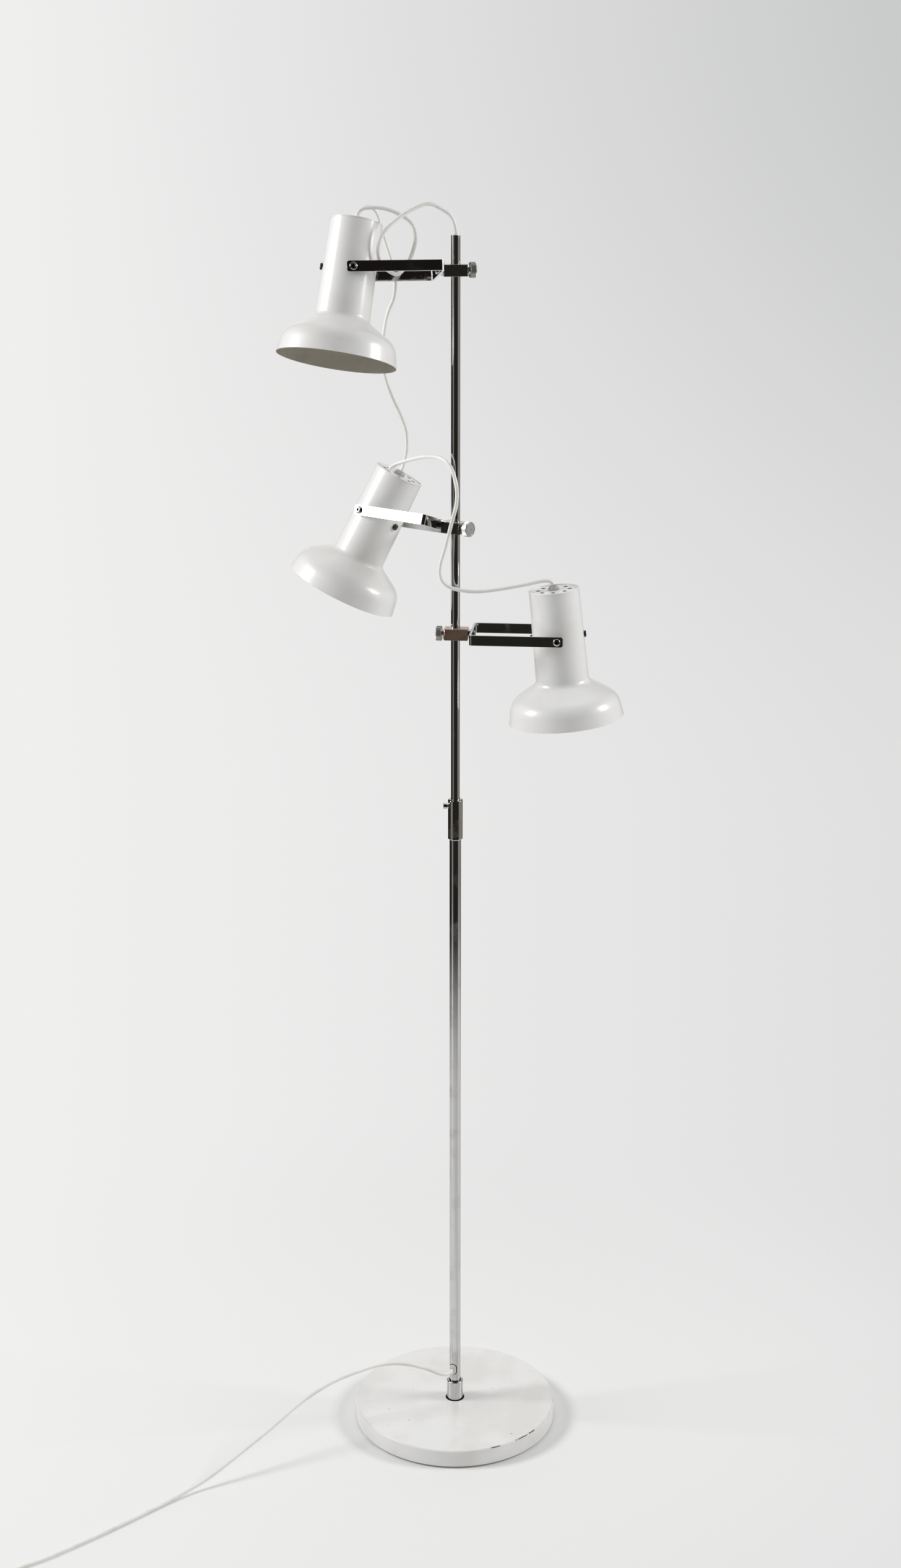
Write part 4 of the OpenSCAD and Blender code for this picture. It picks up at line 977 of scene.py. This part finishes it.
two_to_three = [vent_end(1, 1, -.0008), vent_end(1, 1, .005), (-.079, .073, 1.393),
                (-.068, .065, 1.398), (-.052, .046, 1.405), (-.036, .02, 1.411),
                (-.018, -.006, 1.412), (-.006, -.019, 1.402), (.001, -.026, 1.379),
                (.001, -.028, 1.356), (-.005, -.028, 1.332), (-.013, -.026, 1.300),
                (-.02, -.022, 1.274), (-.019, -.02, 1.256), (-.007, -.018, 1.244),
                (.015, -.018, 1.239), (.038, -.018, 1.239), (.066, -.018, 1.243),
                (.093, -.017, 1.2478), (.108, -.015, 1.2508), (.115, -.0141, 1.2519),
                (.121, -.0134, 1.2521), (.125, -.0129, 1.251), (.1278, -.0125, 1.249),
                gland_end(2, .0016)]


def head_lead(number, points, bodies):
    """A lead cut into lengths, one for each joint between two of the given bodies."""
    line = route(points)
    count, whole, i = len(bodies) - 1, run_of(line), 0
    for k in range(count):
        first = i
        while i < len(line) - 1 and run_of(line[:i + 1]) < whole * (k + 1) / count - 1e-4:
            i += 1
        run = line[first:i + 1]
        lead = flex_tube(f"lead_{number}_{'abcdefgh'[k]}", run)
        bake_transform(lead)
        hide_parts(f"head_cable_{number}")


def arm_bodies(i):
    return [f"{body}_{i}" for body in ("slider", "clamp", "fork_arm", "head")]


head_lead(1, from_pole, ["upper_pole", *arm_bodies(1)])
head_lead(2, one_to_two, [*arm_bodies(1)[::-1], "upper_pole", *arm_bodies(2)])
head_lead(3, two_to_three, [*arm_bodies(2)[::-1], "upper_pole", *arm_bodies(3)])

OUTWARDS = Vector((-sin(INLET_TURN), -cos(INLET_TURN), 0))
inlet_end = OUTWARDS * 0.0103 + Vector((0, 0, INLET_Z))
COIL = Vector((-0.588, -0.43, 0.0026))
COIL_R, COIL_STEP, COIL_LIFT, COIL_IN, COIL_TURN = 0.038, 0.0056, 0.0056, 3, 120


def coil_spot(r, turns, z):
    a = radians(COIL_TURN) + tau * turns
    return COIL + Vector((r * cos(a), r * sin(a), z))


def coil_turn(t):
    """The coil: inwards on the floor, half a turn up at the middle, outwards again on top."""
    back = COIL_IN + 0.25
    r = COIL_R - COIL_STEP * (t if t < back else 2 * back - t)
    lift = min(max(t - COIL_IN, 0), 0.5)
    return coil_spot(r, t, COIL_LIFT * (1 - cos(tau * lift)) / 2)


turns = 2 * COIL_IN + 0.25
coil_dir, tail_dir = [turned_by(COIL_TURN + 360 * t, "Z") @ Vector((0, 1, 0)) for t in (0, turns)]
tail = coil_turn(turns)
plug_at = tail + tail_dir * 0.03 + Vector((0, 0, 0.00685 - tail.z))
coil_start = coil_spot(COIL_R, 0, 0)
along_floor = route([
    inlet_end, inlet_end + OUTWARDS * .006, (-.013, -.022, .077), (-.023, -.025, .08),
    (-.039, -.025, .087), (-.06, -.026, .094), (-.084, -.029, .099), (-.109, -.037, .101),
    (-.133, -.047, .099), (-.166, -.061, .093), (-.194, -.075, .084), (-.224, -.094, .071),
    (-.263, -.125, .05), (-.303, -.156, .031), (-.341, -.185, .014), (-.366, -.203, .0065),
    (-.387, -.221, .0034), (-.408, -.24, .0026), (-.44, -.27, .0026), (-.475, -.302, .0026),
    (-.51, -.332, .0026), (-.546, -.361, .0026), (-.576, -.38, .0026),
    coil_start - coil_dir * .008, coil_start])
coiled = [coil_turn(k / 48) for k in range(3, round(turns * 48) + 1)]
to_plug = route([tail, tail + tail_dir * .014, plug_at - tail_dir * .007,
                 plug_at - tail_dir * .0001])
mains_line = along_floor + [coil_start + coil_dir * .005] + coiled + to_plug[1:]
mains_lead = flex_tube("mains_lead", mains_line)
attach(mains_lead, "stand")
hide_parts("mains_cord", "mains_coil")

# the flat two-pin plug is moulded on the lead: a ribbed relief, a body with grips, sleeved pins
PLUG_L, PLUG_W, PLUG_H, RELIEF, PIN_GAP = 0.036, 0.035, 0.0137, 0.024, 0.0186
plug_white, tree, shader, at = material("plug_moulding")
age = placed(tree, smudges, at, 60.0)[0]
seam = sums(tree, "ABSOLUTE", split(tree, at)["Z"])
grain = noise(tree, at, 1200.0)
relief = sums(tree, "ADD", times(tree, grain, 0.3), ramp(tree, seam, 0.0001, 0.0003))
surfaced(tree, shader, mixed(tree, age, (0.80, 0.79, 0.75), (0.70, 0.68, 0.62)),
         ramp(tree, age, 0, 1, 0.36, 0.50), relief, 0.0001, 0.8)


def squared(share):
    """A sine or cosine that takes a circle towards a square with round corners."""
    return copysign(abs(share) ** 0.45, share)


body = bmesh.new()
stations = [(0, .40, .72), (.15, .62, .88), (.35, .86, .985), (.58, .96, .99), (.80, .985, .99),
            (.93, .88, .985), (.985, .80, .95), (1, .76, .88)]
rows = []
for q in route([(x * PLUG_L, w * PLUG_W / 2, h * PLUG_H / 2) for x, w, h in stations], 0.0005):
    grip = 0.0007 * max(0, sin(tau * q.x / 0.0036)) * (0.009 < q.x < 0.027)
    rows.append([body.verts.new((RELIEF + q.x, squared(cos(a)) * (q.y - grip),
                                 squared(sin(a)) * q.z))
                 for a in (tau * k / 64 for k in range(64))])
skinned(body, rows)
ribs = []
for k in range(6):
    x, r = 0.003 + 0.0033 * k, 0.0031 + 0.00022 * k
    ribs += [(r, x), (r - 0.0005, x + 0.0004), (r - 0.0005, x + 0.0013), (r + 0.0001, x + 0.0017)]
relief = turned([(0, 0), (0.0028, 0), (0.0031, 0.0004), *ribs, (0.0046, RELIEF),
                 (0.0046, RELIEF + 0.0015), (0, RELIEF + 0.0015)], steps=48)
pins = [(turned([(0, 0), (0.0019, 0), (0.0019, 0.0105), (0.002, 0.0107), (0.002, 0.02, 0.0012),
                 (0, 0.02)], steps=40),
         Matrix.Translation((RELIEF + PLUG_L - 0.001, side * PIN_GAP / 2, 0)) @ ALONG_X)
        for side in (-1, 1)]
plug = joined((body, HERE), (relief, ALONG_X), *pins)
plug_turn = Matrix.Rotation(atan2(tail_dir.y, tail_dir.x), 4, "Z")
plug = piece("moulded_plug", plug, "stand", "mains_plug", [plug_white, nickel],
             Matrix.Translation(plug_at) @ plug_turn,
             inner=lambda c, normal: c.x > RELIEF + PLUG_L + 0.0096)

# a black plastic-covered wire holds the coil's turns together, its ends twisted on top
black, tree, shader, scuffs = mottled("tie_plastic", (0.015, 0.015, 0.015), (0.05, 0.05, 0.048),
                                      500.0, 0.00005, detail=3.0, fine=0.5, own=False)
tree.links.new(ramp(tree, scuffs, 0.3, 0.7, 0.38, 0.55), shader["Roughness"])
tie_turn = turned_by(COIL_TURN + 180, "Z")
loop = [(.033, 0, .0125), (.0372, 0, .0095), (.0392, 0, .005), (.0384, 0, .001), (.029, 0, .0008),
        (.0196, 0, .0012), (.017, 0, .005), (.0178, 0, .0095), (.0225, 0, .0122), (.03, 0, .0126)]
twist = [[(.0315 + .0007 * cos(a * 1.6 + turn) + .0002 * a, .0009 * a,
           .0132 + .0007 * sin(a * 1.6 + turn)) for a in range(1, 15)]
         for turn in (0, pi)]
wire = route(twist[0][::-1] + loop + twist[1], 0.0008)
tie = flex_tube("coil_tie", [Vector((COIL.x, COIL.y, 0)) + tie_turn @ q for q in wire],
                0.0013, black)
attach(tie, "stand")
